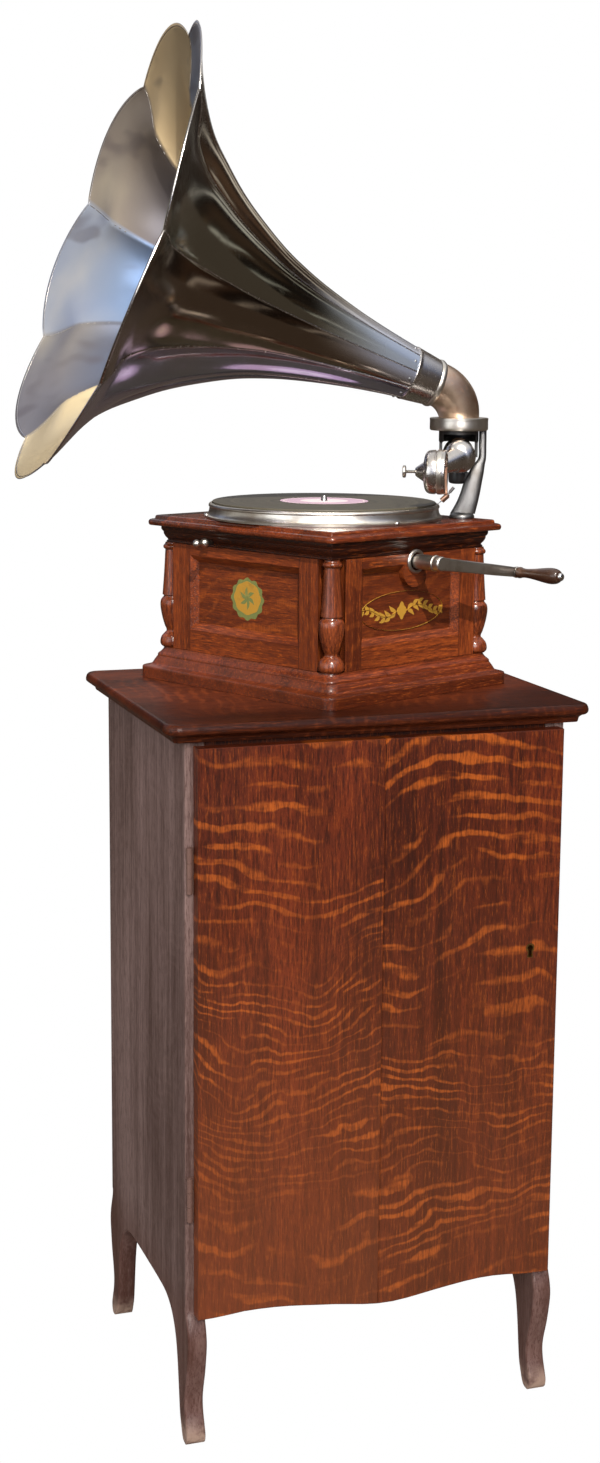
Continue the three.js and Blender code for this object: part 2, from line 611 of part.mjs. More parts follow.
/** The crown wheel on the barrel's arbor, driven by the winding shaft's pinion. */
function buildWindingGear(parent) {
  const teeth = 24;
  const step = (2 * Math.PI) / teeth;
  const outline = Array.from({ length: teeth }, (_, i) => [[-0.25, 30.4], [0.25, 30.4]].map(([u, r]) => {
    const angle = (i + u + 0.5) * step;
    return [r * Math.cos(angle), r * Math.sin(angle)];
  })).flat();
  const wheel = join(
    turned([[4.3, 84], [4.3, 170]], 12),
    turned([[20, 127.6], [27, 131], [25, 133.6], [8, 134.6]], 20),
    plate(outline, 4).translate(0, 0, 129),
  );
  piece(parent, 'winding_gear', wheel.translate(BARREL.a, BARREL.b, 0), COLOURS.steel, 0.4, 1);
}

// ---------------------------------------------------------------- speed regulator
const REGULATOR = { b: 55, height: 158.6 };

function buildRegulator(parent) {
  const { b, height } = REGULATOR;
  const knob = turned([
    [1.2, -3.8], [3.4, -2.6], [4.4, 0], [4.2, 2], [2.9, 4], [2.5, 6], [3.4, 8], [5, 10], [5.4, 12.6], [4.2, 14.6],
    [2.4, 15.4], [2.4, 46],
  ], 12);
  knob.rotateY(Math.PI / 2).translate(-141, b, height);
  const finger = box(-98.5, -94.5, 30, b + 2, height - 2.4, height + 2.4);
  const drop = box(-98.5, -94.5, 29, 33, 112, height + 2.4);
  const pad = box(-97, -65.5, 29, 33, 112, 118);
  piece(parent, 'speed_regulator', join(knob, finger, drop, pad), COLOURS.nickel, 0.25, 1);
}

// ---------------------------------------------------------------- crank
function buildCrank(parent) {
  const { a, height, sleeve } = CRANK;
  const wall = -MACHINE.wallB;
  const ring = turned([[9.8, 0.2], [13.4, 0.2], [13.2, 1.6], [11.6, 2.8], [9.8, 2.4]], 22, true);
  piece(parent, 'crank_escutcheon', ring.rotateX(Math.PI / 2).translate(a, wall, height), COLOURS.nickel, 0.3, 1);

  const pinion = plate(gearOutline(8, 2.5), 7).rotateX(Math.PI / 2).translate(a, -88, height);
  const shaft = join(
    rod(vec(a, -86, height), vec(a, wall - 30, height), CRANK.shaft, 12),
    pinion,
  );
  piece(parent, 'winding_shaft', shaft, COLOURS.steel, 0.3, 1);

  const start = vec(a, wall - 35.5, height);
  const droop = rad(-CRANK.droop);
  const at = (t, out) => vec(
    a + t * CRANK.throw * Math.cos(droop),
    wall - 35.5 - out,
    height + t * CRANK.throw * Math.sin(droop),
  );
  const line = new THREE.CatmullRomCurve3([start, at(0.12, 0), at(0.35, 1.2), at(0.7, 7), at(0.9, 8.6), at(1.03, 8.8)]);
  const blade = sweep(line, 9, (t) => bar(2.6, 7.4 - 2.2 * t, 0.8));
  const end = at(1, 8.8);
  const tube = cut(
    turned([[8, 0], [8, 24], [8.8, 24.6], [8.8, 27], [8, 27.6], [8, 34.6], [6.6, 36.4]], 16)
      .rotateX(Math.PI / 2).translate(a, wall - 3.4, height),
    rod(vec(a, wall, height), vec(a, wall - 31, height), CRANK.shaft + 0.3, 12),
  );
  const pin = rod(end, vec(end.x, end.y - 62.9, end.z), 2.4, 12);
  piece(parent, 'crank_arm', join(tube, blade, pin), COLOURS.nickel, 0.25, 1);

  const grip = [
    [2.8, 0], [5.2, 0], [6.2, 1], [6.2, 3.6], [5.2, 6.2], [5, 11.4], [6, 22.8], [7.8, 35.8],
    [8.8, 46.4], [8, 53.4], [6, 57.2], [2.8, 58],
  ];
  const handle = turned(grip, 16, true).rotateX(Math.PI / 2).translate(end.x, end.y - 3.4, end.z);
  piece(parent, 'crank_grip', handle, COLOURS.grip, 0.35);
  const cap = cut(
    turned([[4.6, 0], [4.6, 1.2], [3.4, 3.2], [1, 4]], 12).rotateX(Math.PI / 2)
      .translate(end.x, end.y - 61.8, end.z),
    rod(vec(end.x, end.y - 60, end.z), vec(end.x, end.y - 63.4, end.z), 2.7, 12),
  );
  piece(parent, 'crank_grip_cap', cap, COLOURS.nickel, 0.2, 1);
}

// ---------------------------------------------------------------- horn
/** Stations of the bracket's blade: centre, share of the way from the case up to the ring, and half width. */
const BLADE = [
  [11.8, 5.1, 0.06, 14], [10.6, 10.3, 0.186, 12], [9.4, 13.5, 0.294, 11], [8, 16.2, 0.407, 10.2], [6.4, 19.7, 0.515, 8.6],
  [4.6, 22.9, 0.608, 6.6], [3.4, 26.5, 0.687, 4.3], [1.8, 26.8, 0.845, 4.2], [0.6, 26.8, 0.99, 4.2], [0, 26.8, 1.1, 4.2],
];

function buildBracket(parent) {
  const { outer, bottom, top } = RING;
  const tier = MACHINE.tierTop;
  const ring = turned([[outer - 1, bottom], [outer, bottom + 1], [outer, top - 1.2], [outer - 1.2, top]], 28);
  const blade = skin(BLADE.map(([x, y, share, half]) => oval(4.6, half, 12).map(
    ([u, v]) => vec(x + u, y + v, tier + share * (bottom - tier)),
  )));
  const stop = turned([[6, -36], [9.6, -34.6], [10.5, -31.6], [10.5, -22.2], [9.4, -21.2]], 16);
  const web = box(1, 8, 4, 15, -34.2, -23);
  const foot = turned([[14, GAP], [14, 2.6], [12.6, 4.6], [9, 6.2]], 16);
  const clear = rod(vec(0, 0, bottom - 9), vec(0, 0, top + 5), RING.bore, 24);
  const bracket = join(
    ring,
    blade,
    foot.translate(11.8, 4.4, tier),
    stop.translate(0, 0, PIN_HEIGHT),
    web.translate(0, 0, PIN_HEIGHT),
  );
  piece(parent, 'horn_bracket', cut(bracket, clear), COLOURS.nickel, 0.25, 1);
}

/** The elbow's middle line, from the ring upward and over to the horn, in the horn's own plane. */
function elbowLine() {
  const radius = 40;
  const rise = rad(HORN.rise);
  const bend = Math.PI / 2 - rise;
  const points = [vec(0, 0, RING.top - 6.6)];
  [0, 0.028, 0.2, 0.4, 0.6, 0.8, 1].forEach((part) => {
    const t = bend * part;
    points.push(vec(radius * (1 - Math.cos(t)), 0, RING.top - 1.1 + radius * Math.sin(t)));
  });
  const last = points[points.length - 1];
  points.push(last.clone().add(vec(7.4 * Math.cos(rise), 0, 7.4 * Math.sin(rise))));
  return points;
}

/** A bent tube of sheet, its rings square to the line. */
function bentTube(points, radii, wall) {
  const tangents = points.map((p, i) => {
    const before = points[Math.max(i - 1, 0)];
    const after = points[Math.min(i + 1, points.length - 1)];
    return after.clone().sub(before).normalize();
  });
  const ring = (i, r) => Array.from({ length: 20 }, (_, j) => {
    const t = (j / 20) * 2 * Math.PI;
    const over = vec(0, 1, 0).cross(tangents[i]).normalize();
    return points[i].clone().addScaledVector(vec(0, 1, 0), r * Math.cos(t)).addScaledVector(over, r * Math.sin(t));
  });
  const outer = points.map((_, i) => ring(i, radii[i]));
  const inner = points.map((_, i) => ring(i, radii[i] - wall)).reverse();
  return skin([...outer, ...inner], true);
}

/** Point on the horn's sheet: t runs from neck to rim, u round it, depth goes inward. */
function hornPoint(flare, t, u, depth) {
  const [start, tip] = [FLARE[0][0], FLARE[FLARE.length - 1]];
  const crown = Math.sin(Math.PI * ((u * HORN.panels) % 1));
  const lobe = crown ** 0.9;
  const seamAt = start + (SEAM.distance - start) * t;
  const ramp = Math.min(1, Math.max(0, (seamAt - 20) / 160));
  const seam = flare(seamAt) * (1 - SEAM.sink * ramp);
  const blend = t > 0.97 ? 1 : 0;
  const seamRadius = blend ? SEAM.radius : Math.min(seam, SEAM.radius - 6);
  const crownAt = start + (tip[0] - start) * t;
  const s = seamAt + (crownAt - seamAt) * lobe;
  const r = seamRadius + (flare(crownAt) - seamRadius) * lobe - depth;
  const angle = rad(HORN.phase) + u * 2 * Math.PI;
  return vec(r * Math.cos(angle), r * Math.sin(angle), s + depth * 0.35);
}

/** The radius on a panel's middle line at a distance along the horn. */
function flareCurve() {
  const curve = new THREE.CatmullRomCurve3(FLARE.map(([d, r]) => vec(d, r, 0)), false, 'centripetal');
  const samples = curve.getPoints(400);
  return (d) => {
    const k = Math.max(1, samples.findIndex((p) => p.x >= d - 1e-6));
    const [a, b] = [samples[k - 1], samples[k]];
    return a.y + ((b.y - a.y) * (d - a.x)) / (b.x - a.x);
  };
}

function hornSheet() {
  const flare = flareCurve();
  const around = HORN.panels * 6;
  const levels = [0, 0.08, 0.24, 0.4, 0.54, 0.66, 0.77, 0.86, 0.94, 1];
  const ring = (t, depth) => Array.from(
    { length: around },
    (_, j) => hornPoint(flare, t, j / around, depth),
  );
  const outer = levels.map((t) => ring(t, 0));
  const inner = levels.map((t) => ring(t, SHEET)).reverse();
  return skin([...outer, ...inner], true);
}

function buildHorn(parent) {
  const mast = frame(parent, 0, 0, 0, HORN.bearing - ARM.bearing);
  const swell = [22.2, 22.2, 22.3, 23.3, 23.9, 24.2, 24.4, 24.5, 24.5];
  const elbow = bentTube(elbowLine(), swell, 1.6);
  piece(mast, 'horn_elbow', elbow, COLOURS.worn, 0.35, 1);
  const rise = rad(HORN.rise);
  const along = new THREE.Group();
  const axis = vec(Math.cos(rise), 0, Math.sin(rise));
  const over = vec(-Math.sin(rise), 0, Math.cos(rise));
  along.quaternion.setFromRotationMatrix(new THREE.Matrix4().makeBasis(vec(0, 1, 0), over, axis));
  along.position.set(HORN.startX, 0, HORN.startZ);
  mast.add(along);
  const collar = [
    [24.9, -5.4], [25.8, -5], [26.9, -2.6], [26.6, 0.4], [26, 1.4], [24.9, 1.4],
  ];
  piece(along, 'horn_collar', turned(collar, 26, true), COLOURS.nickel, 0.25, 1);
  piece(along, 'horn', hornSheet(), COLOURS.nickel, 0.2, 1);
}

// ---------------------------------------------------------------- sound arm
function buildYoke(parent) {
  const { bottom } = RING;
  const cup = cut(
    turned([[21.4, bottom - 13], [22.2, bottom - 12], [22.2, bottom + 5.6]], 24),
    rod(vec(0, 0, bottom - 21), vec(0, 0, bottom + 19), 18.2, 20),
  );
  const cheek = (side) => cut(
    box(-5, 5, side > 0 ? 18.4 : -21.2, side > 0 ? 21.2 : -18.4, PIN_HEIGHT - 4.6, bottom - 9),
    rod(vec(0, -30, PIN_HEIGHT), vec(0, 30, PIN_HEIGHT), 3.35, 12),
  );
  const notch = box(0, 30, -17.9, 17.9, bottom - 21, bottom - 4);
  piece(parent, 'arm_yoke', cut(join(cup, cheek(1), cheek(-1)), notch), COLOURS.black, 0.35, 1);
}

/** Soundbox frame: x along the case's axis from back to front, z up. */
const SOUNDBOX = { x: 107, y: -31.2, z: MACHINE.tierTop + 56.9, turn: 81 };

/** Where the tone arm's neck meets the soundbox. */
const NECK = { x: 83.8, y: -27.5, z: SOUNDBOX.z + 4.3 };
const NECK_ROOT = { x: 62, y: -6, z: SOUNDBOX.z + 12.1 };

function toneArmShape() {
  const pin = PIN_HEIGHT;
  const ball = turned(
    [-0.98, -0.86, -0.6, -0.2, 0.2, 0.6, 0.86, 0.98].map((s) => [
      17.2 * Math.sqrt(1 - s * s), pin + 17.2 * s,
    ]),
    16,
  );
  const line = new THREE.CatmullRomCurve3([
    vec(2, 0, pin - 0.6), vec(22, -0.4, pin - 1), vec(46, -1.6, pin - 1), vec(72, -4, SOUNDBOX.z + 13.7),
  ]);
  const radius = (t) => (t < 0.62 ? 15.2 + 2.6 * t : 16.8 + Math.sin((t - 0.62) * 4.1));
  const dome = (t) => (t > 0.86 ? Math.sqrt(Math.max(1 - ((t - 0.86) / 0.145) ** 2 * 0.95, 0.03)) : 1);
  const tube = sweep(line, 10, (t) => oval(radius(t) * dome(t), radius(t) * dome(t), 16));
  const neck = rod(vec(NECK_ROOT.x, NECK_ROOT.y, NECK_ROOT.z), vec(NECK.x, NECK.y, NECK.z), 14, 14, 7.8);
  return [ball, tube, neck];
}

function buildToneArm(parent) {
  const pin = PIN_HEIGHT;
  const shell = join(...toneArmShape(), rod(vec(0, -21, pin), vec(0, 21, pin), 3, 8));
  const bore = join(
    turned([[9, pin], [9, pin + 24]], 12),
    rod(vec(0, 0, pin), vec(58, -3, pin - 1), 11.6, 12),
    rod(vec(52, 1, SOUNDBOX.z + 14.5), vec(94, -33.2, SOUNDBOX.z + 1.7), 5.2, 10),
  );
  piece(parent, 'tone_arm', cut(shell, bore), COLOURS.nickel, 0.25, 1);
}

/** A point of the arm's frame, seen from the soundbox. */
function inHead(x, y, z) {
  const s = SOUNDBOX;
  return vec(x - s.x, y - s.y, z - s.z).applyAxisAngle(vec(0, 0, 1), -rad(s.turn));
}

function buildSoundbox(parent) {
  const s = SOUNDBOX;
  // In this frame +x is the case's axis, towards its open front.
  const head = frame(parent, s.x, s.y, s.z, s.turn);
  const lay = (geometry) => geometry.rotateY(Math.PI / 2);
  const shell = lay(turned([
    [3.4, -22.5], [5, -21.2], [10.4, -13.4], [12.6, -13], [19.4, -11.4], [22.8, -8], [23.6, -1],
    [22.8, 0.4], [23.6, 1.6], [23.6, 9.6], [22.8, 10.8],
  ], 24));
  const chamber = lay(turned([[20.6, 2.6], [20.6, 30]], 24));
  const throat = lay(turned([[9, -3], [15, 3]], 12));
  const screwHole = lay(turned([[2.2, -40], [2.2, 0]], 10));
  const inlet = rod(vec(0.4, 30, 5), vec(-3, 9, 1.4), 4.2, 10);
  const barNotch = box(6.6, 16, -3.8, 3.8, -30, -18);
  const neckSeat = rod(inHead(NECK.x + 0.3, NECK.y - 0.3, NECK.z - 0.1), inHead(NECK_ROOT.x, NECK_ROOT.y, NECK_ROOT.z), 8.4, 14, 14.6);
  piece(head, 'soundbox_case', cut(shell, chamber, throat, screwHole, barNotch, neckSeat, inlet),
    COLOURS.nickel, 0.25, 1);
  piece(head, 'diaphragm', lay(turned([[20.2, 4.4], [20.2, 5.2], [17, 6], [3, 6.4]], 24)),
    COLOURS.mica, 0.3);
  buildStylus(head);
  const screw = lay(turned([
    [1.6, -3.2], [1.6, -32.6], [6.2, -32.8], [6.6, -33.6], [6.6, -35.2], [6, -36],
  ], 14));
  piece(head, 'adjusting_screw', screw, COLOURS.nickel, 0.3, 1);
}

function buildStylus(head) {
  const stem = join(
    rod(vec(7, 0, 0), vec(9.6, 0, 0), 1.5, 8),
    sweep(new THREE.CatmullRomCurve3([vec(9.6, 0, 4), vec(9.8, 0, -8), vec(10.6, 0, -18), vec(10.8, 0, -26.5)]),
      6, (t) => bar(2.3 - 0.5 * t, 1.1, 0.4), vec(0, 1, 0)),
    rod(vec(12.8, 0, -24.6), vec(6.4, 0, -30.4), 3, 10),
    rod(vec(9.8, 0, -27.2), vec(13, 0, -23.4), 2.6, 8),
  );
  const socket = rod(vec(10, 0, -27.1), vec(2.6, 0, -33.8), 1.05, 8);
  const thread = rod(vec(10.2, 0, -26.8), vec(18.6, 0, -16.8), 1.35, 8);
  piece(head, 'stylus_bar', cut(stem, socket, thread), COLOURS.nickel, 0.3, 1);
  piece(head, 'needle', rod(vec(9.3, 0, -27.8), vec(1.2, 0, -35.2), 0.8, 8, 0.15), COLOURS.steel, 0.2, 1);
  const screw = join(
    rod(vec(10.6, 0, -26.3), vec(15.6, 0, -20.4), 1.05, 8),
    rod(vec(14.8, 0, -21.3), vec(19.2, 0, -16.1), 1.7, 10),
  );
  piece(head, 'needle_screw', screw, COLOURS.steel, 0.4, 1);
}

// ---------------------------------------------------------------- assembly
const cabinet = frame(root, 0, 0, 0);
buildCase(cabinet);
buildDoor(cabinet);
buildHinges(cabinet);

const machine = frame(root, MACHINE.x, MACHINE.y, CABINET.topHeight + GAP, MACHINE.turn);
buildPlinth(machine);
buildWalls(machine);
buildColumns(machine);
buildCornice(machine);
buildTopBoard(machine);
buildTurntable(machine);
buildMotor(machine);
buildRegulator(machine);
buildCrank(machine);

const mast = frame(machine, ARM.a, ARM.b, 0, ARM.bearing);
buildBracket(mast);
buildHorn(mast);
buildYoke(mast);
buildToneArm(mast);
buildSoundbox(mast);

// The part's own origin is the middle of its box on the floor.
root.updateMatrixWorld(true);
const extent = new THREE.Box3().setFromObject(root, true);
const middle = extent.getCenter(new THREE.Vector3());
root.children.forEach((child) => child.position.sub(vec(middle.x, middle.y, extent.min.z)));

export default root;
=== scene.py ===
"""A gramophone with a flower horn on an oak record cabinet: fine shapes, finishes, light and camera.

Lengths are millimetres in the frame of a sub-assembly, and metres once a mesh is made.
"""
import logging
import math
from dataclasses import dataclass, field
from enum import Enum
from typing import Dict, List, Optional, Sequence, Tuple, Union

import bmesh
import bpy
import numpy as np
from mathutils import Matrix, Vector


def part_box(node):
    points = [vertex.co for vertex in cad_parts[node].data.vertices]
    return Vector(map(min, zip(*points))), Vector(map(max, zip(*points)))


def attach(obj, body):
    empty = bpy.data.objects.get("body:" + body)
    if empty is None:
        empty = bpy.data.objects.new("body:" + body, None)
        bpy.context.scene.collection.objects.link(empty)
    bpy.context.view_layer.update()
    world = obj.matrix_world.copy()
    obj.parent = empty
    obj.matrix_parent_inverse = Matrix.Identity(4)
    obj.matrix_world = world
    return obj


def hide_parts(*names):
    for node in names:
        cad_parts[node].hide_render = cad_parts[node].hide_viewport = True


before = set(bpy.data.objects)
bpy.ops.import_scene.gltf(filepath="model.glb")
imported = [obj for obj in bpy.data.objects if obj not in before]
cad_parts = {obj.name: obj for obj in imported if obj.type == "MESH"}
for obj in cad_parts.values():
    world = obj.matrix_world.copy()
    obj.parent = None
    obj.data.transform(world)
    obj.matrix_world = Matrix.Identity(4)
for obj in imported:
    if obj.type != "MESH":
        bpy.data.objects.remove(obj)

LOG = logging.getLogger("gramophone")
Triple = Tuple[float, float, float]
Colour = Tuple[float, float, float, float]
METRE = 0.001  # a millimetre in metres
WHITE: Colour = (1.0, 1.0, 1.0, 1.0)


def rgb(red: int, green: int, blue: int) -> Colour:
    """Turns a screen colour of 0 to 255 into the linear colour that a shader takes.

    Args:
        red, green, blue: the screen's three values.

    Returns:
        The linear colour with full alpha.
    """
    screen = np.array([red, green, blue]) / 255.0
    linear = np.where(screen <= 0.04045, screen / 12.92, ((screen + 0.055) / 1.055) ** 2.4)
    return (*(float(v) for v in linear), 1.0)


# ---------------------------------------------------------------- shader graphs
class Sock:
    """One output of a shader node; arithmetic on it adds Math nodes."""

    def __init__(self, graph: "Graph", socket: bpy.types.NodeSocket) -> None:
        """Keeps the graph and the output socket."""
        self.graph = graph
        self.socket = socket

    def math(self, operation: str, *others: "Number") -> "Sock":
        """This value first, then the others, through one Math node."""
        return self.graph.maths(operation, self, *others)

    def __add__(self, other: "Number") -> "Sock":
        """Sum."""
        return self.math("ADD", other)

    def __radd__(self, other: "Number") -> "Sock":
        """Sum, reflected."""
        return self.math("ADD", other)

    def __sub__(self, other: "Number") -> "Sock":
        """Difference."""
        return self.math("SUBTRACT", other)

    def __rsub__(self, other: "Number") -> "Sock":
        """Difference, reflected."""
        return self.graph.maths("SUBTRACT", other, self)

    def __mul__(self, other: "Number") -> "Sock":
        """Product."""
        return self.math("MULTIPLY", other)

    def __rmul__(self, other: "Number") -> "Sock":
        """Product, reflected."""
        return self.math("MULTIPLY", other)

    def __pow__(self, other: "Number") -> "Sock":
        """Power."""
        return self.math("POWER", other)

    def sine(self) -> "Sock":
        """Sine of this value in radians."""
        return self.math("SINE")

    def size(self) -> "Sock":
        """Absolute value."""
        return self.math("ABSOLUTE")

    def step(self, low: "Number", high: "Number") -> "Sock":
        """Rises smoothly from 0 at low to 1 at high."""
        return self.graph.node(
            "ShaderNodeMapRange",
            {"interpolation_type": "SMOOTHSTEP"},
            {"Value": self, "From Min": low, "From Max": high},
        )


Number = Union[Sock, float, int]
Shade = Union[Sock, Colour]


class Graph:
    """The node tree of one material or world."""

    def __init__(self, tree: bpy.types.NodeTree) -> None:
        """Empties the tree."""
        self.tree = tree
        tree.nodes.clear()

    def node(
        self,
        kind: str,
        settings: Optional[Dict[str, object]] = None,
        sockets: Optional[Dict[Union[str, int], object]] = None,
        out: Union[str, int] = 0,
    ) -> Sock:
        """Adds any node.

        Args:
            kind: the node's type.
            settings: its settings, set first; "stops" holds a ramp's (place, colour) pairs.
            sockets: values or links of its inputs, by name or place.
            out: the output that is returned.

        Returns:
            That output.
        """
        made = self.tree.nodes.new(kind)
        for key, value in (settings or {}).items():
            if key == "stops":
                self._stops(made.color_ramp, value)
            else:
                setattr(made, key, value)
        for key, value in (sockets or {}).items():
            if isinstance(value, Sock):
                self.tree.links.new(value.socket, made.inputs[key])
            else:
                made.inputs[key].default_value = value
        return Sock(self, made.outputs[out])

    @staticmethod
    def _stops(ramp: bpy.types.ColorRamp, stops: Sequence[Tuple[float, Colour]]) -> None:
        """Gives a ramp its stops."""
        while len(ramp.elements) < len(stops):
            ramp.elements.new(0.5)
        for element, (place, colour) in zip(ramp.elements, stops):
            element.position = place
            element.color = colour

    def maths(self, operation: str, *values: Number) -> Sock:
        """One Math node on these values."""
        return self.node("ShaderNodeMath", {"operation": operation}, dict(enumerate(values)))

    def mix(self, low: Shade, high: Shade, share: Number) -> Sock:
        """A colour between two others."""
        return self.node("ShaderNodeMix", {"data_type": "RGBA"}, {0: share, 6: low, 7: high}, 2)

    def place(self, origin: Triple = (0, 0, 0), turn: float = 0.0) -> Sock:
        """Object coordinates seen from a frame at origin, in metres, turned about Z by turn degrees."""
        point = self.node("ShaderNodeTexCoord", out="Object")
        return self.node(
            "ShaderNodeMapping",
            {"vector_type": "TEXTURE"},
            {"Vector": point, "Location": origin, "Rotation": (0.0, 0.0, math.radians(turn))},
        )

    def scaled(self, point: Sock, scale: Triple, shift: Triple = (0, 0, 0)) -> Sock:
        """Coordinates multiplied by scale and moved by shift."""
        return self.node("ShaderNodeMapping", {}, {"Vector": point, "Scale": scale, "Location": shift})

    def split(self, point: Sock) -> Tuple[Sock, Sock, Sock]:
        """The three parts of a vector."""
        made = self.node("ShaderNodeSeparateXYZ", {}, {0: point})
        outputs = made.socket.node.outputs
        return Sock(self, outputs[0]), Sock(self, outputs[1]), Sock(self, outputs[2])

    def noise(self, point: Sock, scale: float, detail: float = 2.0, roughness: float = 0.5) -> Sock:
        """Smooth noise from 0 to 1 about 0.5."""
        return self.node(
            "ShaderNodeTexNoise",
            {},
            {"Vector": point, "Scale": scale, "Detail": detail, "Roughness": roughness},
        )

    def bump(self, height: Sock, distance: float, strength: float = 1.0) -> Sock:
        """A normal from a height between 0 and 1; distance is in metres."""
        return self.node("ShaderNodeBump", {}, {"Height": height, "Distance": distance, "Strength": strength})

    def surface(self, **sockets: object) -> None:
        """Ends a material in a principled shader with these inputs, spaces written as underscores."""
        named = {key.replace("_", " "): value for key, value in sockets.items()}
        shader = self.node("ShaderNodeBsdfPrincipled", {}, named)
        self.node_out("ShaderNodeOutputMaterial", shader)

    def node_out(self, kind: str, shader: Sock) -> None:
        """Adds the output node of a tree."""
        made = self.tree.nodes.new(kind)
        self.tree.links.new(shader.socket, made.inputs["Surface"])


def new_material(name: str) -> Tuple[bpy.types.Material, Graph]:
    """An empty material and its graph."""
    material = bpy.data.materials.new(name)
    material.use_nodes = True
    return material, Graph(material.node_tree)


# ---------------------------------------------------------------- places
@dataclass(frozen=True)
class Place:
    """A frame: an origin in millimetres and three unit axes as the columns of a matrix."""

    origin: np.ndarray
    axes: np.ndarray

    def moved(self, x: float, y: float, z: float, turn: float = 0.0) -> "Place":
        """A frame at (x, y, z) in this one, turned about its Z by turn degrees."""
        c, s = math.cos(math.radians(turn)), math.sin(math.radians(turn))
        spin = np.array([[c, -s, 0.0], [s, c, 0.0], [0.0, 0.0, 1.0]])
        return Place(self.origin + self.axes @ np.array([x, y, z]), self.axes @ spin)

    def along(self, start: Sequence[float], axis: Sequence[float]) -> "Place":
        """A frame at start whose Z lies along axis, both in this frame."""
        z = np.array(axis, float) / np.linalg.norm(axis)
        hint = np.array([0.0, 0.0, 1.0]) if abs(z[2]) < 0.9 else np.array([1.0, 0.0, 0.0])
        x = np.cross(hint, z)
        x /= np.linalg.norm(x)
        local = np.stack([x, np.cross(z, x), z], 1)
        return Place(self.origin + self.axes @ np.array(start, float), self.axes @ local)

    def world(self, points: np.ndarray) -> np.ndarray:
        """Points of any leading shape, from this frame's millimetres to metres of the whole."""
        return (points @ self.axes.T + self.origin) * METRE

    def metres(self) -> Triple:
        """The origin in metres, as a material takes it."""
        return tuple(float(v) * METRE for v in self.origin)


def cabinet_place() -> Place:
    """The cabinet's frame: its top board is centred on it, so the board's box gives the origin."""
    low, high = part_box("cabinet_top")
    return Place(np.array([(low.x + high.x) * 500.0, (low.y + high.y) * 500.0, 0.0]), np.eye(3))


CABINET = cabinet_place()
MACHINE_TURN = 25.24
MACHINE = CABINET.moved(10.8, 49.4, 788.3, MACHINE_TURN)
PIVOT = (116.0, -95.5)  # the upright axis that horn and sound arm share, in the case's frame
ARM_BEARING, HORN_BEARING = 226.2, 152.87
ARM = MACHINE.moved(*PIVOT, 0.0, ARM_BEARING)
HORN = MACHINE.moved(*PIVOT, 0.0, HORN_BEARING)
HEAD = ARM.moved(107.0, -31.2, 240.9, 81.0)


# ---------------------------------------------------------------- surfaces
def curve(points: Sequence[Sequence[float]], per: int = 6, closed: bool = False) -> np.ndarray:
    """A smooth curve through points; a point given twice makes a corner.

    Between two points it is the cubic whose slopes there are the step between the neighbours over the
    length of that step, times the length between the two points.

    Args:
        points: two or three numbers each.
        per: steps between two points.
        closed: whether the curve returns to its start.

    Returns:
        The curve's points, one a row.
    """
    p = np.array(points, float)
    before = np.vstack([p[-1:] if closed else 2 * p[:1] - p[1:2], p])
    after = [p[:1], p[1:2]] if closed else [2 * p[-1:] - p[-2:-1]]
    k = np.vstack([before, *after])
    span = np.linalg.norm(np.diff(k, axis=0), axis=1)[:, None, None]
    whole = span[1:-1, 0, 0] > 1e-9
    before, here, after = (span[i : len(span) - 2 + i][whole] for i in range(3))
    a, b, c, d = (k[i : len(k) - 3 + i, None][whole] for i in range(4))
    leave = (c - a) * here / (before + here)
    arrive = (d - b) * here / (here + after)
    t = (np.arange(per) / per)[None, :, None]
    body = (2 * t**3 - 3 * t**2 + 1) * b + (t**3 - 2 * t**2 + t) * leave
    body = body + (3 * t**2 - 2 * t**3) * c + (t**3 - t**2) * arrive
    body = body.reshape(-1, p.shape[1])
    return body if closed else np.vstack([body, p[-1:]])


def lathe(profile: np.ndarray, segments: int = 72) -> np.ndarray:
    """Turns (radius, height) rows about Z: each ring is the radius times cosine and sine of the turn."""
    turn = np.linspace(0, 2 * np.pi, segments, endpoint=False)
    radius = np.maximum(profile[:, 0], 0.01)[:, None]
    height = np.broadcast_to(profile[:, 1][:, None], (len(profile), segments))
    return np.stack([radius * np.cos(turn), radius * np.sin(turn), height], -1)


def frame_rings(half_x: float, half_y: float, radius: float, section: np.ndarray,
                steps: int = 9) -> np.ndarray:
    """Carries (outset, height) rows round a rectangle with rounded corners.

    Each ring is four quarter circles about the corner centres; where the outset is negative the
    radius shrinks by it, and elsewhere it stays.
    """
    quarter = np.repeat(np.arange(4), steps)
    turn = (quarter + np.tile(np.linspace(0, 1, steps), 4)) * np.pi / 2
    sx = np.array([1, -1, -1, 1])[quarter]
    sy = np.array([1, 1, -1, -1])[quarter]
    out = section[:, 0][:, None]
    r = np.maximum(radius + np.minimum(out, 0), 0.5)
    x = sx * (half_x + out - r) + r * np.cos(turn)
    y = sy * (half_y + out - r) + r * np.sin(turn)
    return np.stack([x, y, np.broadcast_to(section[:, 1][:, None], x.shape)], -1)


def swept(line: np.ndarray, u: np.ndarray, v: np.ndarray, up: Triple = (0, 0, 1)) -> np.ndarray:
    """Carries a section along a line: each ring is the line's point plus u across it and v over it.

    Args:
        line: points in rows.
        u, v: the section's two parts, one row for each point of the line.
        up: a direction that lies over the line.
    """
    along = np.gradient(line, axis=0)
    along /= np.linalg.norm(along, axis=1, keepdims=True)
    across = np.cross(np.array(up, float), along)
    across /= np.linalg.norm(across, axis=1, keepdims=True)
    over = np.cross(along, across)
    return line[:, None] + u[..., None] * across[:, None] + v[..., None] * over[:, None]


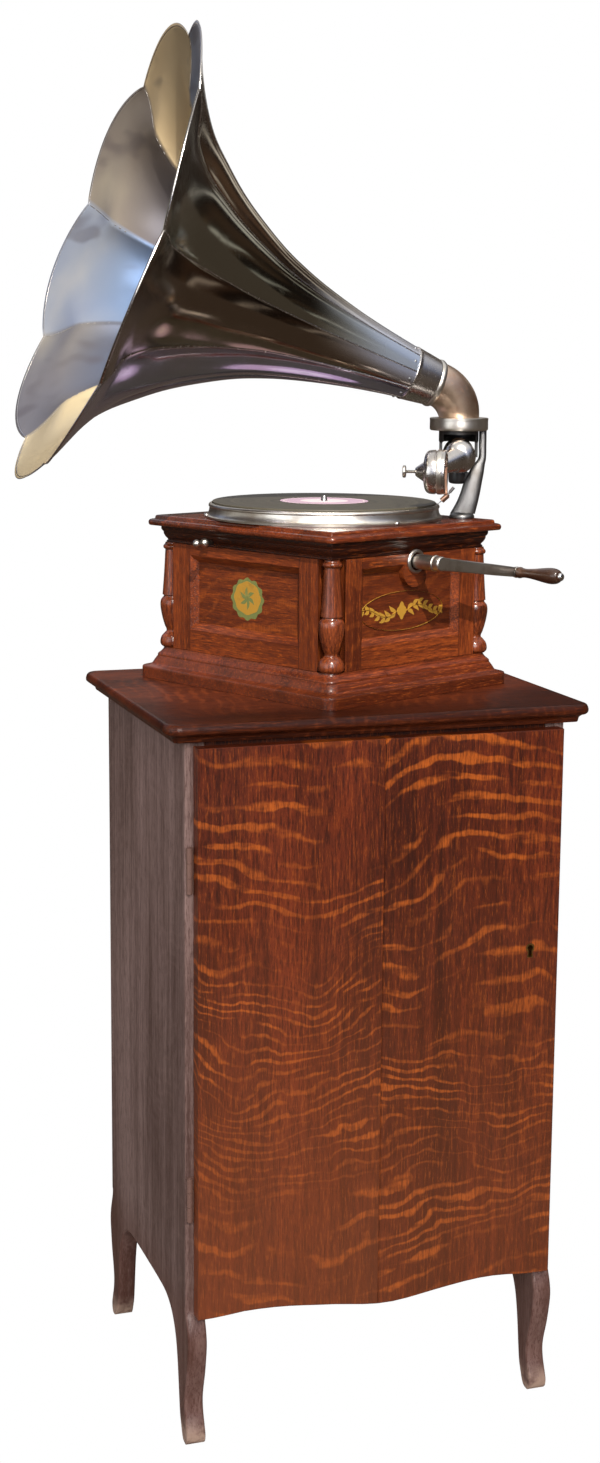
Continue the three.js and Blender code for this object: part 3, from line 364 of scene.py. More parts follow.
def oval(half_u: np.ndarray, half_v: np.ndarray, segments: int = 32,
         square: float = 2.0) -> Tuple[np.ndarray, np.ndarray]:
    """Superellipse sections: cosine and sine to the power 2/square, times the half widths."""
    t = np.linspace(0, 2 * np.pi, segments, endpoint=False)
    c, s = np.cos(t), np.sin(t)
    u = np.sign(c) * np.abs(c) ** (2 / square)
    v = np.sign(s) * np.abs(s) ** (2 / square)
    return half_u[:, None] * u, half_v[:, None] * v


class Shell:
    """Gathers grids of points into one mesh object."""

    def __init__(self, name: str) -> None:
        """Starts with no vertices."""
        self.name = name
        self.points: List[np.ndarray] = []
        self.faces: List[Sequence[int]] = []
        self.marks: Dict[str, List[np.ndarray]] = {}
        self.count = 0

    def grid(self, rings: np.ndarray, place: Place, ring: bool = True, loop: bool = False,
             caps: bool = True, **marks: np.ndarray) -> "Shell":
        """Adds a grid of rings.

        Args:
            rings: rows of points in the frame's millimetres.
            place: the frame.
            ring: whether each row closes on itself.
            loop: whether the last row meets the first.
            caps: whether the end rows are closed with a face each.
            marks: one number a point, kept as an attribute of that name.
        """
        rows, across = rings.shape[:2]
        here = np.arange(rows * across).reshape(rows, across) + self.count
        a = here if loop else here[:-1]
        b = np.roll(here, -1, 0) if loop else here[1:]
        if ring:
            quads = np.stack([a, np.roll(a, -1, 1), np.roll(b, -1, 1), b], -1)
        else:
            quads = np.stack([a[:, :-1], a[:, 1:], b[:, 1:], b[:, :-1]], -1)
        self.faces += quads.reshape(-1, 4).tolist()
        if caps and ring and not loop:
            self.faces += [here[0][::-1].tolist(), here[-1].tolist()]
        self.points.append(place.world(rings.reshape(-1, 3)))
        for key, value in marks.items():
            self.marks.setdefault(key, []).append(np.broadcast_to(value, rings.shape[:2]).reshape(-1))
        self.count += rows * across
        return self

    def mesh(self) -> bpy.types.Mesh:
        """The mesh, with faces turned outwards."""
        mesh = bpy.data.meshes.new(self.name)
        mesh.from_pydata(np.concatenate(self.points).tolist(), [], self.faces)
        work = bmesh.new()
        work.from_mesh(mesh)
        bmesh.ops.recalc_face_normals(work, faces=work.faces)
        work.to_mesh(mesh)
        work.free()
        for key, rows in self.marks.items():
            layer = mesh.attributes.new(key, "FLOAT", "POINT")
            layer.data.foreach_set("value", np.concatenate(rows).astype(np.float32))
        return mesh

    def build(self, body: str, finish: "Finish", nodes: Sequence[str] = (), slot: str = "",
              angle: float = 32.0) -> bpy.types.Object:
        """Makes the object, smooth but for edges sharper than angle, riding on a body."""
        return settle(self.name, self.mesh(), body, finish, nodes, angle)


def crease_caps(mesh: bpy.types.Mesh) -> None:
    """Marks the edges of every face of more than six sides as sharp, so that flat ends shade flat."""
    count = len(mesh.polygons)
    start, total = np.zeros(count, np.int32), np.zeros(count, np.int32)
    mesh.polygons.foreach_get("loop_start", start)
    mesh.polygons.foreach_get("loop_total", total)
    edges = np.zeros(len(mesh.loops), np.int32)
    mesh.loops.foreach_get("edge_index", edges)
    sharp = np.zeros(len(mesh.edges), bool)
    mesh.edges.foreach_get("use_edge_sharp", sharp)
    wide = np.repeat(total > 6, total)
    sharp[edges[wide]] = True
    mesh.edges.foreach_set("use_edge_sharp", sharp)


def settle(name: str, mesh: bpy.types.Mesh, body: str, finish: "Finish", nodes: Sequence[str] = (),
           angle: float = 32.0) -> bpy.types.Object:
    """Puts a mesh into the scene on its body.

    Args:
        name: the piece's name.
        mesh: its mesh, in metres of the whole.
        body: the body that it rides on.
        finish: its finish.
        nodes: solids that it stands for.
        angle: edges sharper than this many degrees stay sharp.

    Returns:
        The object.
    """
    mesh.shade_smooth()
    mesh.set_sharp_from_angle(angle=math.radians(angle))
    crease_caps(mesh)
    mesh.materials.clear()
    mesh.materials.append(finish.material())
    made = bpy.data.objects.new(name, mesh)
    bpy.context.scene.collection.objects.link(made)
    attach(made, body)
    if nodes:
        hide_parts(*nodes)
    LOG.info("piece %s: %d faces on %s", name, len(mesh.polygons), body)
    return made


def smoothed(node: str, body: str, finish: "Finish", angle: float = 34.0,
             round_mm: float = 0.0) -> bpy.types.Object:
    """A merged copy of a solid with soft shading, and rounded edges if round_mm is given."""
    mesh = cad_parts[node].data.copy()
    work = bmesh.new()
    work.from_mesh(mesh)
    bmesh.ops.remove_doubles(work, verts=work.verts, dist=1e-5)
    bmesh.ops.dissolve_limit(work, angle_limit=math.radians(0.6), verts=work.verts, edges=work.edges)
    work.to_mesh(mesh)
    work.free()
    made = settle(f"{node}_fine", mesh, body, finish, [node], angle=angle)
    if round_mm:
        bevel = made.modifiers.new("round", "BEVEL")
        bevel.width = round_mm * METRE
        bevel.segments = 2
        bevel.angle_limit = math.radians(angle)
        bevel.harden_normals = True
    return made


def dress(nodes: Sequence[str], finish: "Finish") -> None:
    """Gives solids that keep their shape a finish."""
    material = finish.material()
    for node in nodes:
        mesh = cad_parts[node].data
        mesh.materials.clear()
        mesh.materials.append(material)
        LOG.info("node %s dressed in %s", node, material.name)


def turned(name: str, profile: np.ndarray, segments: int, place: Place, body: str, finish: "Finish",
           nodes: Sequence[str] = (), slot: str = "", loop: bool = True) -> bpy.types.Object:
    """A piece of its own, turned from a profile about the Z of place; loop: the profile closes on itself."""
    return Shell(name).grid(lathe(profile, segments), place, loop=loop).build(body, finish, nodes, slot)


# ---------------------------------------------------------------- finishes
class Finish:
    """A finish makes its material once and hands it out again."""

    name: str = "finish"
    _made: Dict[str, bpy.types.Material] = {}

    def material(self) -> bpy.types.Material:
        """The material, built at its first use."""
        if self.name not in Finish._made:
            material, graph = new_material(self.name)
            self.draw(graph)
            Finish._made[self.name] = material
        return Finish._made[self.name]

    def draw(self, graph: Graph) -> None:
        """Fills the graph."""
        raise NotImplementedError


class Grain(Enum):
    """The way that the grain runs, as the squeeze of coordinates along each axis."""

    UPRIGHT = (1.0, 1.0, 0.022)
    ACROSS = (0.022, 1.0, 1.0)
    DEEP = (1.0, 0.022, 1.0)


@dataclass(frozen=True)
class Oak(Finish):
    """Oiled quartersawn oak: pores and streaks along the grain, and ray flakes across it."""

    name: str
    dark: Colour = rgb(40, 15, 9)
    light: Colour = rgb(112, 44, 20)
    flake: Colour = rgb(176, 86, 26)
    grain: Grain = Grain.UPRIGHT
    origin: Triple = (0.0, 0.0, 0.0)
    turn: float = 0.0
    flakes: float = 0.0
    pitch: float = 70.0
    fine: Tuple[float, float] = (0.0, 0.0)
    arch: Tuple[float, float] = (0.0, 0.0)
    slope: float = 0.0
    seed: float = 0.0
    roughness: float = 0.42
    coat: float = 0.12
    wear: float = 0.3
    shine: float = 0.2
    paler: float = 0.0
    worn: float = 0.0
    pore_depth: float = 0.00025

    def ground(self, graph: Graph, point: Sock) -> Tuple[Sock, Sock]:
        """The wood without its flakes.

        Returns:
            Its colour, and the pores from 0 to 1.
        """
        s = self.seed
        squeeze = tuple(max(v, 0.09) for v in self.grain.value)
        pores = graph.noise(graph.scaled(point, squeeze, (s, s, s)), 640.0, 3.0, 0.75)
        streak = graph.noise(graph.scaled(point, self.grain.value, (s + 3, s, s)), 150.0, 3.0, 0.6)
        gentle = tuple(v**0.5 for v in self.grain.value)
        broad = graph.noise(graph.scaled(point, gentle, (s, s + 5, s)), 16.0, 2.0)
        tone = (streak * 0.55 + broad * 0.65 + pores * 0.3 - 0.25).step(0.2, 0.8)
        colour = graph.mix(self.dark, self.light, tone)
        colour = graph.mix(colour, self.dark, pores.step(0.5, 0.6) * 0.7)
        ticks = 1 - pores.step(0.36, 0.44)
        return graph.mix(colour, self.flake, ticks * 0.35), pores

    def rays(self, graph: Graph, point: Sock, pores: Sock) -> Sock:
        """The ray flakes: crests of a sine whose phase noise warps, thinned and broken by more noise."""
        s = self.seed * 7.3
        x, y, z = graph.split(point)
        along = {Grain.UPRIGHT: z, Grain.ACROSS: x, Grain.DEEP: y}[self.grain]
        over = {Grain.UPRIGHT: x, Grain.ACROSS: z, Grain.DEEP: x}[self.grain]
        wide = graph.noise(graph.scaled(point, (1.0, 1.0, 0.8), (s, 0, s)), 5.2, 1.0) - 0.5
        small = graph.noise(graph.scaled(point, (1.0, 1.0, 1.3), (0, s, s)), 21.0, 1.5) - 0.5
        bend, centre = self.arch
        bow = (over - centre) * (over - centre) * bend + over * self.slope
        tiny = graph.noise(graph.scaled(point, (1.0, 1.0, 0.8), (s, 2.0, s)), 70.0, 2.0, 0.6) - 0.5
        way = along + wide * 0.17 + small * 0.03 + tiny * 0.007 + bow
        thin = graph.noise(graph.scaled(point, (1.0, 1.0, 1.5), (s, s, 2.0)), 9.5, 1.0)
        edge = 1.05 - thin.step(0.3, 0.68) * 1.1
        crest = (way * (self.pitch * 2 * math.pi)).sine().step(edge, edge + 0.75)
        middle, reach = self.fine
        if reach:
            lines = (way * (self.pitch * 3.9 * math.pi)).sine().step(edge * 0.7 - 0.1, edge * 0.7 + 0.8)
            share = 1 - (along - middle + wide * 0.2).size().step(reach * 0.7, reach)
            crest = crest + (lines * 0.9 - crest) * share
        shreds = graph.noise(graph.scaled(point, (0.6, 0.6, 2.2), (s, 1.0, s)), 26.0, 3.0, 0.6)
        broken = shreds.step(0.34, 0.56)
        patches = graph.noise(graph.scaled(point, (1.0, 1.0, 1.0), (s, 3.0, s)), 7.0, 2.0)
        depth = patches.step(0.25, 0.7) * 0.6 + 0.4
        return crest * broken * depth * (1.25 - pores.step(0.38, 0.6) * 0.8) * self.flakes

    def draw(self, graph: Graph) -> None:
        """Mixes ground, flakes and worn places, with pores pressed in."""
        point = graph.place(self.origin, self.turn)
        colour, pores = self.ground(graph, point)
        if self.flakes:
            colour = graph.mix(colour, self.flake, self.rays(graph, point, pores))
        if self.paler:
            above = graph.split(point)[2]
            colour = graph.mix(colour, rgb(150, 84, 52), (1 - above.step(0.1, 0.75)) * self.paler)
        if self.worn:
            above = graph.split(point)[2]
            rubbed = graph.noise(point, 60.0, 3.0, 0.6).step(0.3, 0.6)
            colour = graph.mix(colour, rgb(92, 52, 40), (1 - above.step(0.12, 0.2)) * 0.45)
            scuffed = (1 - above.step(0.004, 0.034)) * rubbed * self.worn
            colour = graph.mix(colour, rgb(196, 166, 148), scuffed)
        smear = graph.noise(graph.scaled(point, (1.0, 1.0, 0.7)), 11.0, 4.0, 0.65)
        rough = smear * self.wear + (self.roughness - self.wear * 0.5)
        self.oiled(graph, colour, rough, 1 - pores.step(0.55, 0.72), 0.18)

    def oiled(self, graph: Graph, colour: Sock, rough: Number, relief: Sock, coat_roughness: float) -> None:
        """Ends the wood in a shader: relief is 1 on the wood and 0 at the bottom of a pore."""
        graph.surface(
            Base_Color=colour,
            Roughness=rough,
            Normal=graph.bump(relief, self.pore_depth, 0.6),
            Specular_IOR_Level=self.shine,
            Coat_Weight=self.coat,
            Coat_Roughness=coat_roughness,
        )


@dataclass(frozen=True)
class PanelOak(Oak):
    """A case wall: upright stiles, lying rails and a panel set back between them, darkened by painted shade.
    """

    axis: int = 0
    opening: float = 0.077
    face: float = 0.1365
    field_painted_shade: float = 0.35

    def draw(self, graph: Graph) -> None:
        """Chooses the grain by the place on the wall, seen from the case's own frame."""
        point = graph.place(self.origin, self.turn)
        parts = graph.split(point)
        upright, pores = self.ground(graph, point)
        lying_grain = (Grain.ACROSS, Grain.DEEP)[self.axis]
        lying = Oak(self.name, self.dark, self.light, grain=lying_grain, seed=self.seed + 2)
        flat, flat_pores = lying.ground(graph, point)
        inside = 1 - parts[self.axis].size().step(self.opening - 0.0004, self.opening + 0.0004)
        colour = graph.mix(upright, flat, inside)
        deep = 1 - parts[1 - self.axis].size().step(self.face - 0.0066, self.face - 0.0058)
        field_share = deep * inside
        rays = self.rays(graph, point, pores)
        colour = graph.mix(colour, self.flake, rays * (field_share * 0.7 + 0.3))
        # Painted shade: the set-back panel is darkened towards the dark oak.
        colour = graph.mix(colour, self.dark, field_share * self.field_painted_shade)
        joint = 1 - (parts[self.axis].size() - self.opening).size().step(0.0002, 0.0009)
        colour = graph.mix(colour, rgb(30, 12, 8), joint * 0.5)
        relief = 1 - pores.step(0.55, 0.72) * (1 - inside) - flat_pores.step(0.55, 0.72) * inside
        self.oiled(graph, colour, self.roughness, relief, 0.2)


@dataclass(frozen=True)
class Metal(Finish):
    """Plated or bare metal with cloudy tarnish and faint polishing marks."""

    name: str
    bright: Colour = rgb(222, 216, 206)
    tarnish: Colour = rgb(150, 128, 104)
    amount: float = 0.35
    roughness: float = 0.14
    cloud: float = 30.0
    dents: float = 0.0

    def draw(self, graph: Graph) -> None:
        """Mixes the plate with its tarnish by cloud noise."""
        point = graph.place()
        cloud = graph.noise(point, self.cloud, 4.0, 0.6)
        spots = graph.noise(point, self.cloud * 9, 3.0, 0.7)
        share = (cloud.step(0.42, 0.75) + spots.step(0.58, 0.75) * 0.5) * self.amount
        rough = self.roughness + cloud * 0.1 + spots.step(0.55, 0.8) * 0.15
        graph.surface(
            Base_Color=graph.mix(self.bright, self.tarnish, share),
            Metallic=1.0,
            Roughness=rough,
            Normal=graph.bump(graph.noise(point, 22.0, 2.0), 0.0006 * self.dents + 0.00004),
        )


@dataclass(frozen=True)
class HornNickel(Finish):
    """The horn's plate: cool inside, warm along the lips, dark outside; each panel, inside and out, has a
    painted reflection colour of its own, and the upper neck a painted blue reflection.
    """

    name: str = "horn_nickel"
    panels: int = 9
    order: Tuple[int, ...] = (2, 0, 1, 2, 3, 4, 0, 3, 1)
    outer_order: Tuple[int, ...] = (0, 0, 2, 1, 2, 3, 3, 2, 1)

    def draw(self, graph: Graph) -> None:
        """Reads the attributes inside, lip and panel of the horn's mesh."""
        point = graph.place()
        inside = graph.node("ShaderNodeAttribute", {"attribute_name": "inside"}, out="Fac")
        lip = graph.node("ShaderNodeAttribute", {"attribute_name": "lip"}, out="Fac")
        panel = graph.node("ShaderNodeAttribute", {"attribute_name": "panel"}, out="Fac")
        cloud = graph.noise(point, 7.0, 3.0, 0.55)
        fine = graph.noise(point, 90.0, 3.0, 0.7)
        # Painted reflections: one colour a panel, inside (tan, grey, sky blue, cream) and outside (cream,
        # grey, brown, lilac).
        inside_reflection_colours = (rgb(214, 188, 146), rgb(116, 110, 112), rgb(126, 148, 182), rgb(96, 104, 124),
                 rgb(226, 206, 164))
        stops = [((k + 0.5) / self.panels, inside_reflection_colours[self.order[k]]) for k in range(self.panels)]
        panel_reflection = graph.node("ShaderNodeValToRGB", {"stops": stops}, {"Fac": panel})
        outside_reflection_colours = (rgb(220, 212, 196), rgb(160, 162, 150), rgb(142, 128, 112), rgb(186, 184, 214))
        stops = [((k + 0.5) / self.panels, outside_reflection_colours[self.outer_order[k]]) for k in range(self.panels)]
        shell = graph.node("ShaderNodeValToRGB", {"stops": stops}, {"Fac": panel})
        warm = graph.mix(rgb(196, 172, 134), rgb(226, 208, 172), cloud.step(0.35, 0.7))
        # Painted reflection: dark streaks on the inside of the horn.
        streak = graph.noise(graph.scaled(point, (1.0, 1.0, 2.4), (2.0, 0.0, 1.0)), 9.0, 2.0, 0.6)
        inner = graph.mix(panel_reflection, warm, lip * 0.25 + cloud.step(0.5, 0.8) * 0.2)
        inner = graph.mix(inner, rgb(92, 82, 84), streak.step(0.54, 0.66) * 0.45)
        outer = graph.mix(shell, rgb(176, 168, 160), cloud.step(0.45, 0.8) * 0.5)
        # Painted reflection: the upper side of the outer neck is tinted sky blue, and made less metallic so
        # that the tint shows.
        x, _, z = graph.split(point)
        above = (z + x * 0.367).step(1.163, 1.186)
        neck = x.step(0.01, 0.13) * (1 - inside) * above
        colour = graph.mix(graph.mix(outer, rgb(140, 156, 190), neck * 0.6), inner, inside)
        rough = 0.12 + fine.step(0.5, 0.8) * 0.1 + inside * 0.2 + lip * 0.06
        graph.surface(
            Base_Color=colour,
            Metallic=1 - inside * 0.25 - neck * 0.3,
            Roughness=rough,
            Normal=graph.bump(cloud, 0.0012, 0.6),
        )


@dataclass(frozen=True)
class Disc(Finish):
    """A pressed disc: fine grooves with bands of painted sheen in olive grey, a lead-out and a plain two-tone
    paper label.
    """

    name: str = "pressed_disc"

    def draw(self, graph: Graph) -> None:
        """Everything depends on the distance from the spindle."""
        x, y, _ = graph.split(graph.place(MACHINE.metres(), MACHINE_TURN))
        radius = (x * x + y * y) ** 0.5
        label = 1 - radius.step(0.0492, 0.0497)
        groove = (radius * (2 * math.pi / 0.0009)).sine() * 0.5 + 0.5
        # Painted sheen: lighter olive-grey rings by radius stand for the disc's concentric sheen.
        band = graph.noise(graph.node("ShaderNodeCombineXYZ", {}, {0: radius * 60.0}), 3.0, 3.0, 0.7)
        shellac_with_sheen = graph.mix(rgb(44, 40, 32), rgb(74, 69, 57), band.step(0.3, 0.75))
        paper = graph.mix(rgb(203, 186, 190), rgb(168, 143, 160), radius.step(0.026, 0.0275))
        ring = (radius - 0.045).size()
        paper = graph.mix(paper, rgb(214, 200, 196), 1 - ring.step(0.0003, 0.0007))
        smudge = graph.noise(graph.place(), 40.0, 3.0)
        graph.surface(
            Base_Color=graph.mix(shellac_with_sheen, paper, label),
            Roughness=0.42 + label * 0.3 + smudge * 0.1,
            Normal=graph.bump(groove * (1 - label), 0.00005, 0.5),
            Specular_IOR_Level=0.3,
        )


@dataclass(frozen=True)
class Cloth(Finish):
    """Short-napped felt."""

    name: str = "green_felt"

    def draw(self, graph: Graph) -> None:
        """Mottled by fine noise, which also raises the nap."""
        point = graph.place()
        nap = graph.noise(point, 900.0, 3.0, 0.7)
        graph.surface(
            Base_Color=graph.mix(rgb(44, 54, 38), rgb(84, 96, 68), nap),
            Roughness=0.95,
            Normal=graph.bump(nap, 0.0003),
        )


@dataclass(frozen=True)
class Lacquer(Finish):
    """Hard glossy or satin coats of one colour, rubbed and dusty in places."""

    name: str
    colour: Colour = rgb(24, 22, 22)
    rubbed: Colour = rgb(70, 60, 54)
    roughness: float = 0.3
    metallic: float = 0.0

    def draw(self, graph: Graph) -> None:
        """Mixes in the rubbed colour by cloud noise."""
        point = graph.place()
        cloud = graph.noise(point, 60.0, 4.0, 0.6)
        graph.surface(
            Base_Color=graph.mix(self.colour, self.rubbed, cloud.step(0.5, 0.85)),
            Metallic=self.metallic,
            Roughness=cloud * 0.2 + self.roughness,
            Normal=graph.bump(graph.noise(point, 400.0, 2.0), 0.00005),
        )


DARK_OAK = Oak("dark_oak", rgb(40, 16, 10), rgb(82, 36, 22), roughness=0.5, coat=0.1)
PALE_WOOD = Oak("bare_softwood", rgb(120, 92, 62), rgb(172, 140, 100), roughness=0.7, coat=0.0)
NICKEL = Metal("nickel_plate", rgb(196, 192, 188), rgb(140, 122, 104), 0.35, 0.2)
NICKEL_SATIN = Metal("nickel_satin", rgb(200, 195, 186), rgb(136, 116, 94), 0.5, 0.28, 45.0)
WORN_NICKEL = Metal("worn_nickel", rgb(206, 182, 160), rgb(176, 116, 84), 0.7, 0.3, 26.0, 0.6)
STEEL = Metal("bare_steel", rgb(150, 150, 150), rgb(92, 84, 76), 0.5, 0.34, 50.0)
BRASS = Metal("aged_brass", rgb(186, 146, 84), rgb(104, 76, 44), 0.6, 0.32, 60.0)
# Painted reflection: the bracket is a darkened copy of the nickel, its dark grey standing for the blade's
# dark reflections.
BRACKET = Metal("bracket_nickel", rgb(100, 99, 98), rgb(74, 66, 58), 0.5, 0.36, 36.0)
COPPER = Metal("coppered_bar", rgb(190, 150, 126), rgb(140, 96, 74), 0.4, 0.28, 80.0)
BLACK = Lacquer("black_lacquer")
HINGE = Lacquer("stained_hinge", rgb(110, 80, 70), rgb(92, 64, 54), 0.5)
MICA = Lacquer("amber_mica", rgb(168, 96, 44), rgb(206, 140, 80), 0.22)


# ---------------------------------------------------------------- cabinet
@dataclass
class Cabinet:
    """The oak record cabinet without its door."""

    half_width: float = 210.5
    half_depth: float = 164.5
    board: float = 21.0
    top_height: float = 788.0
    top_half: Tuple[float, float] = (235.0, 187.0)
    # Painted sheen: the side board's pale grey-brown colours stand for the grazing reflection on the board,
    # painted into the oak's own colour.
    side: Oak = field(default_factory=lambda: Oak(
        "side_oak", rgb(70, 46, 40), rgb(158, 130, 124), rgb(164, 138, 130), seed=4.0, flakes=0.12,
        roughness=0.42, coat=0.2, worn=0.8))
    top: Oak = field(default_factory=lambda: Oak(
        "top_oak", rgb(34, 12, 6), rgb(92, 40, 20), rgb(128, 60, 26), Grain.ACROSS, seed=9.0, flakes=0.35,
        pitch=60.0, roughness=0.34, coat=0.1, wear=0.25, shine=0.12))

    def outline(self) -> np.ndarray:
        """Half of a side board's edge from the top corner down the knee and foot, and up the arch."""
        d = self.half_depth
        upper = [[d, 767.7], [d, 767.7], [d, 168], [d, 168]]
        knee = [[d + 0.4, 154], [d + 5, 143], [d + 10, 131], [d + 12.5, 118], [d + 10.5, 102],
                [d + 5.5, 80], [d - 1, 60], [d - 3.5, 47], [d - 1.5, 34], [d + 3.5, 22], [d + 6.5, 13],
                [d + 4.4, 4.6], [d + 0.4, 0], [d + 0.4, 0]]
        inner = [[d - 6.4, 0], [d - 6.4, 0], [d - 11, 2], [d - 17, 9], [d - 24, 22], [d - 28, 42],
                 [d - 31, 62], [d - 35.5, 86], [d - 41, 104], [d - 50, 119], [d - 63, 130], [d - 82, 137],
                 [d - 112, 139], [0, 139.4]]
        return curve(upper + knee + inner, 5)

    def side_board(self, name: str, x: float, node: str) -> None:
        """A board with its two legs.

        The edge curve is carried through the thickness; near each face it draws in along its own
        normal by a quarter circle of up to 3.2 mm, smaller at the feet, which rounds the arrises.
        """
        half = self.outline()
        edge = np.vstack([half, (half * [-1, 1])[-2::-1]])
        edge = edge[:-1] if np.allclose(edge[0], edge[-1]) else edge
        step = np.roll(edge, -1, 0) - np.roll(edge, 1, 0)
        normal = np.stack([step[:, 1], -step[:, 0]], 1)
        normal /= np.linalg.norm(normal, axis=1, keepdims=True) + 1e-9
        area = np.sum(edge[:, 0] * np.roll(edge[:, 1], -1) - np.roll(edge[:, 0], -1) * edge[:, 1])
        normal *= np.sign(area)
        r = np.where(edge[:, 1] < 160, np.clip(0.2 * edge[:, 1], 0.4, 3.2), 1.4)
        t = np.linspace(0, np.pi / 2, 5)
        inset = np.concatenate([1 - np.sin(t), (1 - np.sin(t))[::-1]])
        depth = np.concatenate([1 - np.cos(t), (1 - np.cos(t))[::-1]])
        far = np.repeat([0.0, 1.0], 5)
        moved = edge[None] - normal[None] * (inset[:, None] * r)[..., None]
        across = np.where(far[:, None] < 0.5, depth[:, None] * r, self.board - depth[:, None] * r)
        rings = np.stack([x + across, moved[..., 0], np.maximum(moved[..., 1], 0)], -1)
        Shell(name).grid(rings, CABINET).build("cabinet", self.side, [node], "side_oak", 40)

    def top_board(self) -> None:
        """The moulded top: a quarter-round nose over a cove."""
        under = self.top_height - 20
        profile = curve([[-11.5, 0], [-11.5, 0], [-11, 1.2], [-9.8, 5], [-6, 7.8], [-2.2, 9], [-2.2, 9],
                         [-0.4, 10.8], [0, 13.2], [-0.6, 16], [-2, 18.6], [-4, 19.8], [-6, 20],
                         [-6, 20]], 4) + [0, under]
        rings = frame_rings(*self.top_half, 17, profile, 12)
        Shell("top_board").grid(rings, CABINET).build("cabinet", self.top, ["cabinet_top"], "oak", 40)

    def build(self) -> None:
        """Builds the boards and dresses the rest."""
        self.side_board("left_side", -self.half_width, "left_side_board")
        self.side_board("right_side", self.half_width - self.board, "right_side_board")
        self.top_board()
        dress(["back_panel", "bottom_board", "middle_shelf", "front_top_rail"], DARK_OAK)
        dress(["upper_record_rack", "lower_record_rack"], PALE_WOOD)
        dress(["lower_hinge_case_leaf", "upper_hinge_case_leaf", "lower_hinge_pin", "upper_hinge_pin"], HINGE)


@dataclass
class Door:
    """Two oak boards, each with its own figure, their battens and the lock."""

    left: Oak = field(default_factory=lambda: Oak(
        "door_oak_left", seed=1.7, flakes=0.9, pitch=44.0, fine=(0.4, 0.15), arch=(-1.0, -0.08), slope=0.1,
        paler=0.38, origin=CABINET.metres()))
    right: Oak = field(default_factory=lambda: Oak(
        "door_oak_right", seed=5.1, flakes=1.0, pitch=40.0, fine=(0.32, 0.12), arch=(1.6, 0.08), slope=-0.04,
        paler=0.3, origin=CABINET.metres()))

    def glue_line(self) -> None:
        """A thin strip that fills the joint of the two boards a fifth of a millimetre below the face."""
        left, right = (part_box(name) for name in ("door_left_board", "door_right_board"))
        x, y = 500.0 * (left[1].x + right[0].x), 1000.0 * left[0].y
        low, high = 1000.0 * max(left[0].z, right[0].z) + 12.0, 1000.0 * left[1].z - 1.0
        rows = frame_rings(0.6, 1.0, 0.1, np.array([[0.0, low], [0.0, high]]), 2)
        world = Place(np.array([x, y + 1.2, 0.0]), np.eye(3))
        Shell("door_glue_line").grid(rows, world).build("door", self.right, slot="oak")

    def build(self) -> None:
        """Dresses the boards, battens, lock and hinge leaves."""
        dress(["door_left_board"], self.left)
        self.glue_line()
        dress(["door_right_board"], self.right)
        dress(["door_lower_batten", "door_upper_batten"], DARK_OAK)
        dress(["keyhole_bush", "lock_case"], BRASS)
        dress(["lower_hinge_door_leaf", "upper_hinge_door_leaf"], HINGE)
        dress(["lock_bolt"], STEEL)


